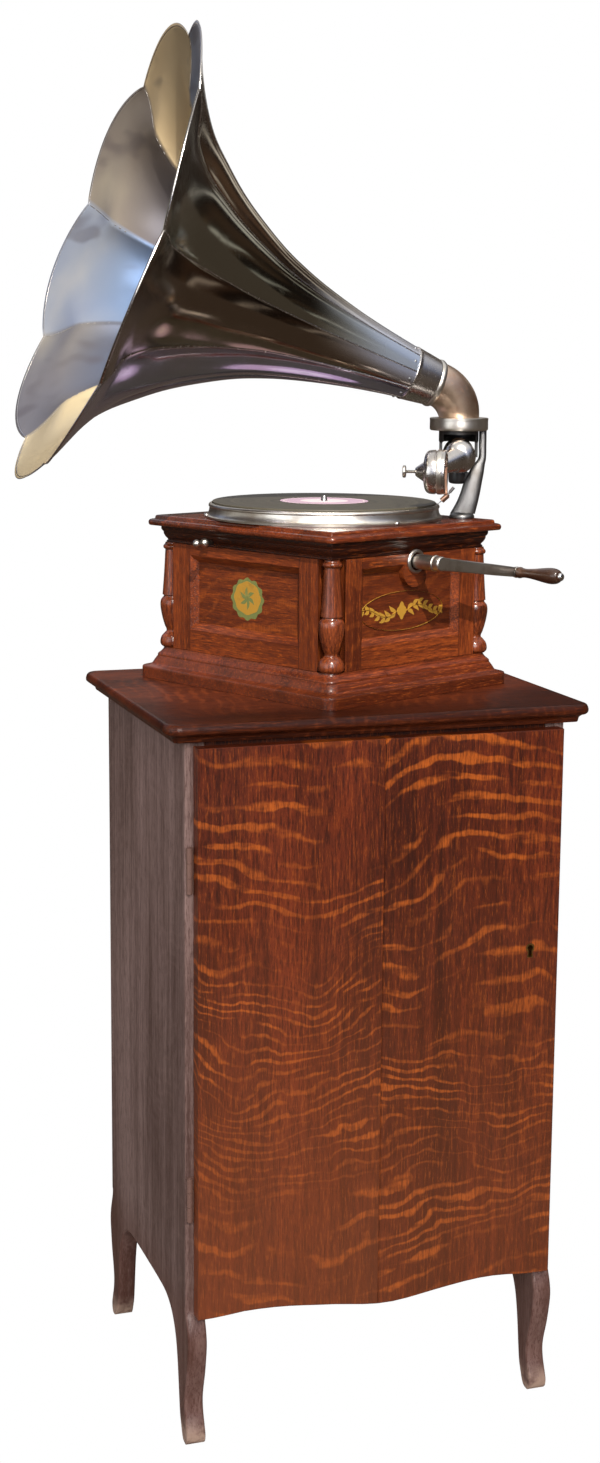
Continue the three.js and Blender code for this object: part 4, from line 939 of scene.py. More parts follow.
# ---------------------------------------------------------------- gramophone case
@dataclass
class Case:
    """The square case: plinth, panelled walls, turned columns, cornice and top."""

    wall: Tuple[float, float] = (122.0, 136.5)
    column: Tuple[float, float] = (113.0, 128.0)
    post_inset: float = 21.8
    origin: Triple = field(default_factory=MACHINE.metres)

    def oak(self, name: str, **changes: object) -> Oak:
        """Case oak in the case's own frame."""
        base = dict(dark=rgb(46, 17, 8), light=rgb(104, 44, 20), flake=rgb(166, 84, 32), origin=self.origin,
                    turn=MACHINE_TURN, roughness=0.32, coat=0.15)
        base.update(changes)
        return Oak(name, **base)

    def mouldings(self) -> None:
        """Plinth, cornice and top, each a section carried round the case."""
        a, b = self.wall
        plinth = curve([[23, 0], [23, 0], [27, 0], [27, 0], [27, 6], [27, 11.5], [26.4, 13], [23.5, 14],
                        [23.5, 14], [19.4, 15.6], [17.4, 19.5], [15.2, 23.6], [14.6, 24.4], [14.6, 24.4],
                        [14.4, 26.8], [11.6, 30], [9.8, 33], [9.4, 34.7], [9.4, 34.7], [-12, 34.7],
                        [-12, 34.7], [-12, 0], [-12, 0]], 3)
        rings = frame_rings(a - 7.4, b - 7.4, 13, plinth, 12)
        lying = self.oak("plinth_oak", grain=Grain.ACROSS, seed=3.0)
        run = Shell("plinth").grid(rings, MACHINE, loop=True)
        run.build("cabinet", lying, ["plinth_moulding"], "oak", 40)
        section = curve([[1.2, 172], [1.2, 172], [1.2, 168.6], [1.2, 168.6], [0.2, 166.4], [-0.8, 165.6],
                         [-1, 163.6], [-2.8, 160], [-4.6, 157.4], [-4.9, 156.2], [-3.9, 155.4],
                         [-3.9, 153.8], [-3.9, 153.8], [-15, 153.8], [-15, 153.8], [-15, 172],
                         [-15, 172]], 3)
        rings = frame_rings(a, b, 3, section, 5)
        # Painted shade: the cornice's near-black oak stands for the shadow that the top's overhang casts on
        # it.
        shade = self.oak("cornice_painted_shade_oak", dark=rgb(22, 9, 6), light=rgb(60, 26, 16), grain=Grain.ACROSS,
                         seed=6.0)
        run = Shell("cornice_run").grid(rings, MACHINE, loop=True)
        run.build("cabinet", shade, ["cornice"], "dark_oak", 40)
        top = curve([[-4, 0], [-4, 0], [-1, 0.6], [0, 2.4], [0, 4.6], [-1.2, 6.4], [-4, 7.3], [-7, 7.6],
                     [-7, 7.6], [-7.4, 8.4], [-7.8, 10.2], [-9, 11.4], [-11, 11.7],
                     [-11, 11.7]], 4) + [0, 172.3]
        rings = frame_rings(135, 149.5, 9, top, 9)
        gloss = self.oak("case_top_oak", grain=Grain.ACROSS, seed=8.0, roughness=0.26, coat=0.3)
        Shell("case_top").grid(rings, MACHINE).build("cabinet", gloss, ["machine_top"], "oak", 40)

    def columns(self) -> None:
        """A turned column at each corner and the square post behind it."""
        profile = curve([[0.02, 35.1], [11.5, 35.1], [11.5, 35.1], [13.8, 37.6], [14.2, 41.6], [12.8, 46.4],
                         [8.8, 51.2], [8.8, 51.2], [7.4, 52.4], [7.4, 55], [9, 58.6], [12, 69], [14, 81],
                         [13.4, 88], [10.4, 92], [10.4, 92], [10.2, 93.4], [11.6, 94.2], [11.6, 94.2],
                         [9.7, 120], [8.3, 145.4], [8.3, 145.4], [10.2, 147], [10.4, 149.4], [8.4, 152],
                         [8.2, 153.4], [8.2, 153.4], [0.02, 153.4]], 4)
        finish = self.oak("column_oak", dark=rgb(44, 17, 9), light=rgb(120, 56, 28), seed=12.0,
                          roughness=0.24, coat=0.35)
        corners = (("front_left", -1, -1), ("front_right", 1, -1), ("back_right", 1, 1), ("back_left", -1, 1))
        for name, sx, sy in corners:
            shell = Shell(f"turned_{name}")
            shell.grid(lathe(profile, 64), MACHINE.moved(sx * self.column[0], sy * self.column[1], 0))
            x, y = sx * (self.wall[0] - self.post_inset), sy * (self.wall[1] - self.post_inset)
            post = frame_rings(7.5, 7.5, 0.5, np.array([[0, 35.1], [0, 153.3]]), 2)
            shell.grid(post, MACHINE.moved(x, y, 0))
            shell.build("cabinet", finish, [f"column_{name}"], "oak", 40)

    def walls(self) -> None:
        """Each wall in panelled oak."""
        common = dict(dark=rgb(54, 20, 9), light=rgb(116, 52, 22), flake=rgb(168, 84, 30), origin=self.origin,
                      turn=MACHINE_TURN, flakes=0.4, pitch=55.0, roughness=0.34, coat=0.1)
        # The short walls' panels carry more painted shade than the long walls'.
        short = PanelOak("short_wall_oak", seed=2.0, axis=0, opening=0.077, face=self.wall[1] * METRE,
                         field_painted_shade=0.55, **common)
        long = PanelOak("long_wall_oak", seed=6.6, axis=1, opening=0.088, face=self.wall[0] * METRE,
                        field_painted_shade=0.2, **common)
        dress(["crank_wall", "far_wall"], short)
        dress(["right_wall", "regulator_wall"], long)

    def build(self) -> None:
        """Builds the case."""
        self.mouldings()
        self.columns()
        self.walls()
        Gilding().build()


@dataclass
class Gilding:
    """Two gilt transfers of plain leaf ornament, lying on the front panels."""

    left_face: float = -115.0
    right_face: float = -129.5
    medal_at: Tuple[float, float] = (-0.5, 101.5)
    spray_at: Tuple[float, float] = (-8.0, 92.0)
    gold: Lacquer = field(default_factory=lambda: Lacquer(
        "gilt", rgb(172, 128, 44), rgb(120, 92, 40), 0.4, 0.35))
    green: Lacquer = field(default_factory=lambda: Lacquer(
        "gilt_green", rgb(92, 98, 48), rgb(132, 118, 52), 0.5))

    @staticmethod
    def leaf(shell: Shell, place: Place, x: float, z: float, turn: float, length: float,
             width: float) -> None:
        """One leaf: its half width is width times the sine of the way along; it bows by an eighth."""
        t = np.linspace(0.02, 0.98, 14)
        side = np.linspace(-1, 1, 5)
        across = width * np.sin(np.pi * t**0.8)[:, None] * side[None]
        u = np.broadcast_to((length * t)[:, None], across.shape)
        v = across + (length / 8 * np.sin(np.pi * t))[:, None]
        c, s = math.cos(math.radians(turn)), math.sin(math.radians(turn))
        flat = np.stack([x + u * c - v * s, np.full(u.shape, -0.1), z + u * s + v * c], -1)
        back = flat + [0, 0.09, 0]
        ringed = np.concatenate([flat, back[:, ::-1]], 1)
        shell.grid(ringed, place)

    @staticmethod
    def disc(shell: Shell, place: Place, x: float, z: float, size: Tuple[float, float], waves: int,
             depth: float, lift: float) -> None:
        """A scalloped disc: the radius is one plus depth times the cosine of waves turns."""
        t = np.linspace(0, 2 * np.pi, 96, endpoint=False)
        r = 1 + depth * np.cos(waves * t)
        ring = np.stack([x + size[0] * r * np.cos(t), np.zeros(96), z + size[1] * r * np.sin(t)], -1)
        rows = np.stack([ring * [1, 0, 1] + [0, y, 0] for y in (-0.02, -0.02 - lift)])
        shell.grid(rows, place)

    def build(self) -> None:
        """A medallion with sprays on the left panel and two long sprays round a lozenge on the right."""
        left = MACHINE.moved(self.left_face, 0.0, 0.0, -90.0)
        x0, z0 = self.medal_at
        medal, trim = Shell("gilt_medallion"), Shell("gilt_medallion_border")
        self.disc(trim, left, x0, z0 - 1.0, (25.5, 22.5), 12, 0.05, 0.1)
        self.disc(medal, left, x0, z0, (21.0, 18.0), 8, 0.03, 0.18)
        trim.build("cabinet", self.green, slot="brass")
        medal.build("cabinet", self.gold, slot="brass")
        veins = Shell("medallion_leaves")
        for k in range(6):
            self.leaf(veins, left.moved(0, -0.14, 0), x0, z0, 30 + 60 * k, 13.0, 2.2)
        veins.build("cabinet", self.green, slot="brass")
        right = MACHINE.moved(0.0, self.right_face, 0.0)
        x0, z0 = self.spray_at
        spray = Shell("gilt_sprays")
        for side in (-1, 1):
            for k in range(7):
                x = x0 + side * (9 + 8.2 * k)
                z = z0 + 5 * math.sin(k * 0.9) * side
                for tilt in (32, -32):
                    turn = tilt if side > 0 else 180 - tilt
                    self.leaf(spray, right, x, z, turn, 12.5 - 0.7 * k, 2.3)
            stem = np.stack([x0 + side * np.linspace(6, 66, 30), np.zeros(30),
                             z0 + 5 * np.sin(np.linspace(-0.2, 6.3, 30) * 0.9) * side], 1)
            u, v = oval(np.full(30, 0.7), np.full(30, 0.08), 8)
            spray.grid(swept(stem, v, u, (0, 1, 0)), right.moved(0, -0.1, 0))
        self.disc(spray, right, x0, z0, (6.5, 8.5), 4, 0.16, 0.16)
        turn = np.linspace(0, 2 * np.pi, 120, endpoint=False)
        ring = np.stack([x0 + 64 * np.cos(turn), np.zeros(120), z0 + 21 * np.sin(turn)], 1)
        u, v = oval(np.full(120, 0.9), np.full(120, 0.08), 8)
        spray.grid(swept(ring, v, u, (0, 1, 0)), right.moved(0, -0.1, 0), loop=True)
        spray.build("cabinet", self.gold, slot="brass")


# ---------------------------------------------------------------- turntable and works
@dataclass
class Turntable:
    """Bezel, platter, mat and disc."""

    base: float = 184.3

    def build(self) -> None:
        """Turns each about the spindle."""
        bezel = curve([[124.4, 0], [124.4, 0], [132.4, 0], [132.4, 0], [132.6, 2], [132.6, 2], [130.4, 3.3],
                       [128.8, 6.4], [127.9, 11.2], [127.9, 11.2], [128.9, 12], [128.9, 13.6], [127.6, 15.2],
                       [125.6, 15.4], [124.6, 14.8], [124.4, 13], [124.4, 13]], 4) + [0, self.base]
        turned("bezel", bezel, 160, MACHINE, "cabinet", NICKEL_SATIN, ["turntable_bezel"], "nickel")
        platter = curve([[5.6, 187.4], [5.6, 187.4], [30, 187.4], [31, 190.6], [31, 190.6], [120.5, 190.6],
                         [120.5, 190.6], [121.5, 192], [121.5, 197.2], [121.5, 197.2], [5.6, 197.2],
                         [5.6, 197.2]], 2)
        turned("platter", platter, 128, MACHINE, "platter", STEEL, ["turntable"], "steel")
        mat = curve([[5.6, 197.4], [5.6, 197.4], [120.5, 197.4], [121, 198.2], [120.5, 199], [5.6, 199],
                     [5.6, 199]], 2)
        turned("mat", mat, 128, MACHINE, "platter", Cloth(), ["felt_mat"], "felt")
        disc = curve([[3.9, 199.2], [3.9, 199.2], [124.2, 199.2], [124.8, 199.6], [125, 200.4],
                      [124.8, 201.4], [124, 201.9], [122, 201.7], [52, 201.6], [50.5, 201.7], [50, 202.1],
                      [49, 202.2], [3.9, 202.2], [3.9, 202.2]], 3)
        turned("disc", disc, 200, MACHINE, "platter", Disc(), ["record"], "shellac")
        smoothed("spindle", "platter", STEEL)
        screw = curve([[0.02, 2.6], [1.6, 2.5], [2.6, 1.9], [3, 0.8], [3, 0], [3, 0], [0.02, 0]], 3)
        head = Shell("bezel_screws")
        for turn in (-98.0, 22.0, 142.0):
            c, s = math.cos(math.radians(turn)), math.sin(math.radians(turn))
            head.grid(lathe(screw, 20), MACHINE.moved(131.6 * c, 131.6 * s, self.base + 1.6))
        head.build("cabinet", NICKEL, slot="nickel")


@dataclass
class Works:
    """The spring motor and the speed regulator."""

    def build(self) -> None:
        """Dresses the motor and smooths the regulator."""
        dress(["motor_frame", "winding_gear"], STEEL)
        dress(["spring_barrel"], BRASS)
        smoothed("governor", "governor", BRASS)
        smoothed("speed_regulator", "regulator", NICKEL_SATIN, 50)


@dataclass
class Crank:
    """Sleeve, flat arm and turned grip."""

    a: float = 5.0
    height: float = 145.0
    throw: float = 116.5
    droop: float = 8.0
    face: float = -136.5
    stand_off: float = 35.5
    grip: Lacquer = field(default_factory=lambda: Lacquer(
        "turned_grip", rgb(48, 30, 20), rgb(92, 66, 48), 0.22))

    def at(self, t: float, out: float) -> np.ndarray:
        """A point t of the way along the arm and out from the wall."""
        fall = math.radians(-self.droop)
        return np.array([self.a + t * self.throw * math.cos(fall), self.face - self.stand_off - out,
                         self.height + t * self.throw * math.sin(fall)])

    def build(self) -> None:
        """Builds the arm with its sleeve, the grip, the cap and the ring on the wall."""
        outward = (0.0, -1.0, 0.0)
        ring = curve([[9.8, 0.2], [9.8, 0.2], [13.4, 0.2], [13.4, 0.2], [13.2, 1.6], [11.6, 2.8], [9.8, 2.4],
                      [9.8, 2.4]], 4)
        turned("crank_ring", ring, 56, MACHINE.along((self.a, self.face, self.height), outward),
               "cabinet", NICKEL_SATIN, ["crank_escutcheon"], "nickel")
        sleeve = curve([[5.4, 0], [5.4, 0], [8, 0], [8, 0], [8.1, 12], [8, 24], [8, 24], [8.9, 24.8],
                        [8.9, 26.8], [8, 27.6], [8, 27.6], [8, 34.2], [7.4, 36], [5.4, 36.6],
                        [0.02, 36.6]], 3)
        arm = Shell("crank_lever")
        arm.grid(lathe(sleeve, 48), MACHINE.along((self.a, self.face - 3.4, self.height), outward))
        line = curve([self.at(0, 0), self.at(0.12, 0), self.at(0.35, 1.2), self.at(0.7, 7), self.at(0.9, 8.6),
                      self.at(1.03, 8.8)], 8)
        t = np.linspace(0, 1, len(line))
        u, v = oval(2.6 - 0.3 * t, 7.4 - 2.2 * t, 36, 5.0)
        arm.grid(swept(line, u, v), MACHINE)
        end = self.at(1, 8.8)
        pin = MACHINE.along(end, outward)
        shank = curve([[0.02, 0], [2.4, 0], [2.4, 0], [2.4, 62.9], [2.4, 62.9], [0.02, 62.9]], 2)
        arm.grid(lathe(shank, 20), pin)
        collar = curve([[5.6, 2.4], [5.6, 2.4], [6.2, 1.4], [6.2, -0.4], [5.4, -2.4], [0.02, -3]], 3)
        arm.grid(lathe(collar[::-1], 32), pin)
        arm.build("winder", NICKEL_SATIN, ["crank_arm"], "nickel")
        grip = curve([[2.8, 3.4], [2.8, 3.4], [5.2, 3.4], [6.1, 4.2], [6.2, 6.6], [5.4, 9], [5.0, 14.8],
                      [6, 26.2], [7.8, 39.2], [8.8, 49.8], [8, 56.8], [6, 60.6], [2.8, 61.4],
                      [2.8, 61.4]], 5)
        turned("turned_handle", grip, 48, pin, "grip", self.grip, ["crank_grip"], "grip_wood")
        cap = curve([[0.02, 63.2], [2.7, 63.2], [2.7, 61.8], [4.6, 61.8], [4.6, 61.8], [4.6, 63], [3.6, 64.8],
                     [1.6, 65.7], [0.02, 65.8]], 4)
        turned("handle_cap", cap, 32, pin, "winder", NICKEL, ["crank_grip_cap"], "nickel", loop=False)
        smoothed("winding_shaft", "winder", STEEL)


# ---------------------------------------------------------------- horn
@dataclass
class Horn:
    """Bracket, elbow and the nine-panel flower horn."""

    rise: float = 20.17
    phase: float = 43.4
    panels: int = 9
    tip_s: float = 397.3
    notch_s: float = 388.4
    notch_r: float = 235.9
    neck_at: Triple = (32.3, 0.0, 333.7)
    elbow_foot: float = 288.4
    bend_foot: float = 293.9
    bend_radius: float = 40.0
    tube_wall: float = 1.6
    flare: Tuple[Tuple[float, float], ...] = (
        (2, 25.4), (30, 28.9), (75, 36.4), (110, 43.6), (150, 53.5), (178, 62), (212, 75), (247, 93),
        (280, 113), (310, 136), (338, 161), (364, 196), (388.4, 239.3), (397.3, 256.8))
    finish: HornNickel = field(default_factory=HornNickel)

    def axis(self) -> Place:
        """The horn's own frame: Z runs from the elbow to the mouth."""
        rise = math.radians(self.rise)
        c, s = math.cos(rise), math.sin(rise)
        local = np.array([[0.0, -s, c], [1.0, 0.0, 0.0], [0.0, c, s]])
        return Place(HORN.origin + HORN.axes @ np.array(self.neck_at), HORN.axes @ local)

    def radius(self, s: np.ndarray) -> np.ndarray:
        """Radius of a panel's middle line at s, read off a smooth curve through the stations."""
        line = curve(self.flare, 24)
        return np.interp(s, line[:, 0], line[:, 1])

    def sheet(self, t: np.ndarray, u: np.ndarray, depth: float) -> np.ndarray:
        """Points of the sheet.

        With lobe the sine of the way across a panel to the power 0.9, the distance and the radius
        run from the seam's to the middle line's as lobe goes from 0 to 1; the seam lies a tenth
        lower once past the neck, and ends in a notch.

        Args:
            t: way from the neck to the rim, a column.
            u: way round, a row.
            depth: how far inside the outer face.
        """
        start = self.flare[0][0]
        lobe = np.sin(np.pi * np.mod(u * self.panels, 1)) ** 0.9
        seam_s = start + (self.notch_s - start) * t
        crown_s = start + (self.tip_s - start) * t
        ramp = np.clip((seam_s - 20) / 330, 0, 1)
        low = np.minimum(self.radius(seam_s) * (1 - 0.1 * ramp), self.notch_r - 6)
        near = np.clip((t - 0.94) / 0.06, 0, 1)
        seam_r = low + (self.notch_r - low) * near
        s = seam_s + (crown_s - seam_s) * lobe
        r = seam_r + (self.radius(crown_s) - seam_r) * lobe - depth
        angle = math.radians(self.phase) + u * 2 * np.pi
        return np.stack(np.broadcast_arrays(r * np.cos(angle), r * np.sin(angle), s + depth * 0.35), -1)

    def bell(self) -> None:
        """The sheet with its two faces; marks tell the inside, the lip and the panel to the finish."""
        place = self.axis()
        levels = 1 - (1 - np.linspace(0, 0.996, 64)) ** 1.25
        around = np.arange(self.panels * 26) / (self.panels * 26)
        t, u = levels[:, None], around[None]
        outer, inner = self.sheet(t, u, 0.2), self.sheet(t, u, 1.2)[::-1]
        rings = np.concatenate([outer, inner])
        inside = np.concatenate([np.zeros(outer.shape[:2]), np.ones(inner.shape[:2])])
        lip = np.clip((levels - 0.8) / 0.12, 0, 1) ** 1.5
        lips = np.concatenate([lip, lip[::-1]])[:, None] * np.ones(around.shape)
        tone = (np.floor(around * self.panels) + 0.5) / self.panels
        Shell("flower_horn").grid(rings, place, loop=True, inside=inside, lip=lips,
                                  panel=np.broadcast_to(tone, rings.shape[:2])).build(
            "horn", self.finish, ["horn"], "nickel", 60)

    def seams(self) -> None:
        """A bead down each joint of two panels."""
        place = self.axis()
        seams = Shell("horn_seams")
        for k in range(self.panels):
            way = np.linspace(0.075, 0.992, 60)[:, None]
            line = self.sheet(way, np.array([[k / self.panels]]), 0.3)[:, 0]
            a, b = oval(np.full(60, 0.9), np.full(60, 0.8), 8)
            seams.grid(swept(line, a, b, (0.01, 0.02, 1)), place)
        seams.build("horn", NICKEL, slot="nickel")

    def rim_wire(self) -> None:
        """The wire in the rim: a circle of 1 mm carried round the edge of the sheet."""
        place = self.axis()
        around = np.arange(self.panels * 40)[None] / (self.panels * 40)
        rim = self.sheet(np.full((1, 1), 0.996), around, 0.9)[0]
        a, b = oval(np.full(len(rim), 1.0), np.full(len(rim), 1.0), 10)
        step = np.roll(rim, -1, 0) - np.roll(rim, 1, 0)
        step /= np.linalg.norm(step, axis=1, keepdims=True)
        out = rim * [1, 1, 0]
        out /= np.linalg.norm(out, axis=1, keepdims=True)
        third = np.cross(step, out)
        wire = rim[:, None] + a[..., None] * out[:, None] + b[..., None] * third[:, None] - [0, 0, 0.6]
        Shell("horn_rim_wire").grid(wire, place, loop=True).build("horn", NICKEL, slot="nickel")

    def neck(self) -> None:
        """The band round the neck with a rivet for each panel, and the collar that joins the elbow."""
        place = self.axis()
        band = curve([[24.0, 1.8], [24.0, 1.8], [26.2, 1.8], [26.2, 1.8], [28.2, 16], [29.9, 29], [29.9, 29],
                      [30.3, 29.8], [30.2, 31], [29.4, 31.4], [27.8, 31.2], [27.8, 31.2], [24.0, 2.2]], 4)
        turned("neck_band", band, 72, place, "horn", NICKEL, slot="nickel")
        rivet = curve([[1.5, -0.6], [1.5, 0], [1.5, 0], [1.3, 0.6], [0.6, 1.0], [0.02, 1.05]], 3)
        rivets = Shell("neck_rivets")
        for k in range(self.panels):
            angle = math.radians(self.phase) + (k + 0.5) * 2 * math.pi / self.panels
            out_dir = (math.cos(angle), math.sin(angle), -0.12)
            start = (29.9 * math.cos(angle), 29.9 * math.sin(angle), 36.5)
            rivets.grid(lathe(rivet, 14), place.along(start, out_dir))
        rivets.build("horn", STEEL, slot="steel")
        collar = curve([[24.9, -5.4], [24.9, -5.4], [25.8, -5], [26.9, -2.6], [26.9, -0.6], [26.2, 1.2],
                        [24.9, 1.4], [24.9, 1.4]], 4)
        turned("collar", collar, 64, place, "horn", NICKEL_SATIN, ["horn_collar"], "nickel")

    def elbow(self) -> None:
        """A bent tube: up, a quarter bend less the horn's rise, then straight to the horn."""
        bend = math.pi / 2 - math.radians(self.rise)
        part = np.linspace(0, 1, 40)
        angle = bend * part
        r = self.bend_radius
        arc = np.stack([r * (1 - np.cos(angle)), np.zeros(40), self.bend_foot + r * np.sin(angle)], 1)
        tail = arc[-1] + 7.4 * np.array([math.sin(bend), 0, math.cos(bend)])
        line = np.vstack([[[0, 0, self.elbow_foot]], arc, tail[None]])
        size = np.interp(part, [0, 0.028, 0.2, 0.4, 0.6, 0.8, 1], [22.2, 22.3, 23.3, 23.9, 24.2, 24.4, 24.5])
        size = np.r_[22.2, size, 24.5]
        outer = swept(line, *oval(size, size, 56), up=(0, 1, 0))
        bore = size - self.tube_wall
        inner = swept(line, *oval(bore, bore, 56), up=(0, 1, 0))[::-1]
        Shell("elbow").grid(np.concatenate([outer, inner]), HORN, loop=True).build(
            "horn", WORN_NICKEL, ["horn_elbow"], "worn_nickel")

    def bracket(self) -> None:
        """The curved blade on its round foot, the ring that holds the elbow, and the knuckle's stop."""
        stations = curve([[11.8, 5.1, 189.0, 14], [10.6, 10.3, 202, 12], [9.4, 13.5, 212.5, 11],
                          [8, 16.2, 223.5, 10.2], [6.4, 19.7, 234, 8.6], [4.6, 22.9, 243, 6.6],
                          [3.4, 26.5, 250.6, 4.3], [1.8, 26.8, 266, 4.2], [0.6, 26.8, 280, 4.2],
                          [0, 26.8, 291, 4.2]], 6)
        u, v = oval(np.full(len(stations), 4.6), stations[:, 3], 40, 2.6)
        flat = np.zeros_like(u)
        blade = stations[:, None, :3] + np.stack([u, v, flat], -1)
        shell = Shell("bracket_blade").grid(blade, ARM)
        foot = curve([[0.02, 184.3], [14, 184.3], [14, 184.3], [14, 186.4], [12.6, 188.6], [9, 190.4],
                      [0.02, 190.6]], 4)
        shell.grid(lathe(foot, 48), ARM.moved(11.8, 4.4, 0))
        shell.build("cabinet", BRACKET, ["horn_bracket"], "nickel")
        ring = curve([[23.1, 281], [23.1, 281], [31.2, 281], [31.2, 281], [32.4, 282.2], [32.4, 292],
                      [32.4, 292], [33.0, 292.6], [33.0, 294.2], [31.6, 295], [25, 295], [23.1, 294.6],
                      [23.1, 294.6]], 4)
        ring[:, 0] = np.minimum(ring[:, 0], 32.6)
        turned("bracket_ring", ring, 80, ARM, "cabinet", NICKEL_SATIN, slot="nickel")
        stop = curve([[0.02, 221.6], [6, 221.6], [9.6, 223], [10.5, 226], [10.5, 235.4], [9.4, 236.4],
                      [0.02, 236.4]], 3)
        block = Shell("bracket_stop").grid(lathe(stop, 40), ARM)
        web = frame_rings(3.5, 5.5, 0.8, np.array([[0, 223.4], [0, 234.6]]), 3)
        block.grid(web, ARM.moved(4.5, 9.5, 0))
        block.build("cabinet", BLACK, slot="black_metal")

    def build(self) -> None:
        """Builds the horn's pieces."""
        self.bracket()
        self.elbow()
        self.bell()
        self.seams()
        self.rim_wire()
        self.neck()


# ---------------------------------------------------------------- sound arm
@dataclass
class SoundArm:
    """Yoke, tone arm and soundbox."""

    pin: float = 256.0
    ball: float = 17.2
    voxel: float = 0.0009

    def arm(self) -> None:
        """The cast arm: a ball, a domed tube and a neck, melted together by a voxel remesh and smoothed."""
        s = np.sin(np.linspace(-math.pi / 2, math.pi / 2, 40))
        ball = np.stack([self.ball * np.sqrt(1 - s * s), self.pin + self.ball * s], 1)
        shell = Shell("cast_arm").grid(lathe(ball, 60), ARM)
        line = curve([[2, 0, 255.4], [22, -0.4, 255], [46, -1.6, 255], [72, -4, 254.6]], 14)
        t = np.linspace(0, 1, len(line))
        size = np.where(t < 0.62, 15.2 + 2.6 * t, 16.8 + np.sin(np.maximum(t - 0.62, 0) * 4.1))
        dome = np.sqrt(np.maximum(1 - (np.maximum(t - 0.86, 0) / 0.145) ** 2 * 0.95, 0.03))
        shell.grid(swept(line, *oval(size * dome, size * dome, 48)), ARM)
        low = np.array([62.0, -6.0, 253.0])
        high = np.array([83.8, -27.5, 245.2])
        way = np.linspace(0, 1, 14)[:, None]
        width = 14 - 6.2 * way[:, 0] + 0.8 * np.sin(np.pi * way[:, 0])
        shell.grid(swept(low + (high - low) * way, *oval(width, width, 40)), ARM)
        journal = curve([[0.02, -21], [3, -21], [3, -21], [3, 21], [3, 21], [0.02, 21]], 2)
        shell.grid(lathe(journal, 24), ARM.along((0, 0, self.pin), (0, 1, 0)))
        made = shell.build("arm", NICKEL, ["tone_arm"], "nickel", 180)
        remesh = made.modifiers.new("melt", "REMESH")
        remesh.mode = "VOXEL"
        remesh.voxel_size = self.voxel
        remesh.use_smooth_shade = True
        soften = made.modifiers.new("soften", "SMOOTH")
        soften.factor = 0.5
        soften.iterations = 6

    def soundbox(self) -> None:
        """The case turned about its own axis, with the diaphragm, bar and screws inside and behind."""
        lay = HEAD.along((0, 0, 0), (1, 0, 0))
        back = curve([[0.02, -22.6], [3.4, -22.5], [5, -21.4], [7.6, -17.6], [10.4, -13.4], [10.4, -13.4],
                      [12.6, -13], [19.4, -11.4], [22.6, -8.4], [23.5, -4], [23.6, -0.8], [23.6, -0.8],
                      [22.8, -0.2], [22.8, 0.8], [23.6, 1.6], [23.6, 1.6], [23.6, 5.6], [23.6, 9.6],
                      [22.9, 10.8], [21.2, 10.9], [20.6, 10.2], [20.6, 10.2], [20.6, 2.6], [20.6, 2.6],
                      [0.02, 2.6]], 3)
        turned("soundbox", back, 72, lay, "arm", NICKEL, ["soundbox_case"], "nickel", loop=False)
        disc = curve([[0.02, 4.4], [20.2, 4.4], [20.2, 4.4], [20.2, 5.2], [17, 6], [3, 6.4], [0.02, 6.4]], 3)
        turned("mica_disc", disc, 56, lay, "arm", MICA, ["diaphragm"], "mica", loop=False)
        band = curve([[23.65, 1.9], [23.65, 1.9], [23.9, 2.4], [23.9, 6.4], [23.65, 6.9], [23.65, 6.9],
                      [23.2, 6.9], [23.2, 1.9]], 3)
        turned("soundbox_band", band, 72, lay, "arm", NICKEL_SATIN, slot="nickel")
        smoothed("stylus_bar", "arm", COPPER, 40)
        smoothed("needle", "arm", STEEL, 60)
        smoothed("needle_screw", "arm", STEEL, 50)
        smoothed("adjusting_screw", "arm", NICKEL_SATIN, 50)

    def build(self) -> None:
        """Builds the arm."""
        smoothed("arm_yoke", "yoke", BLACK, 34, 0.5)
        self.arm()
        self.soundbox()


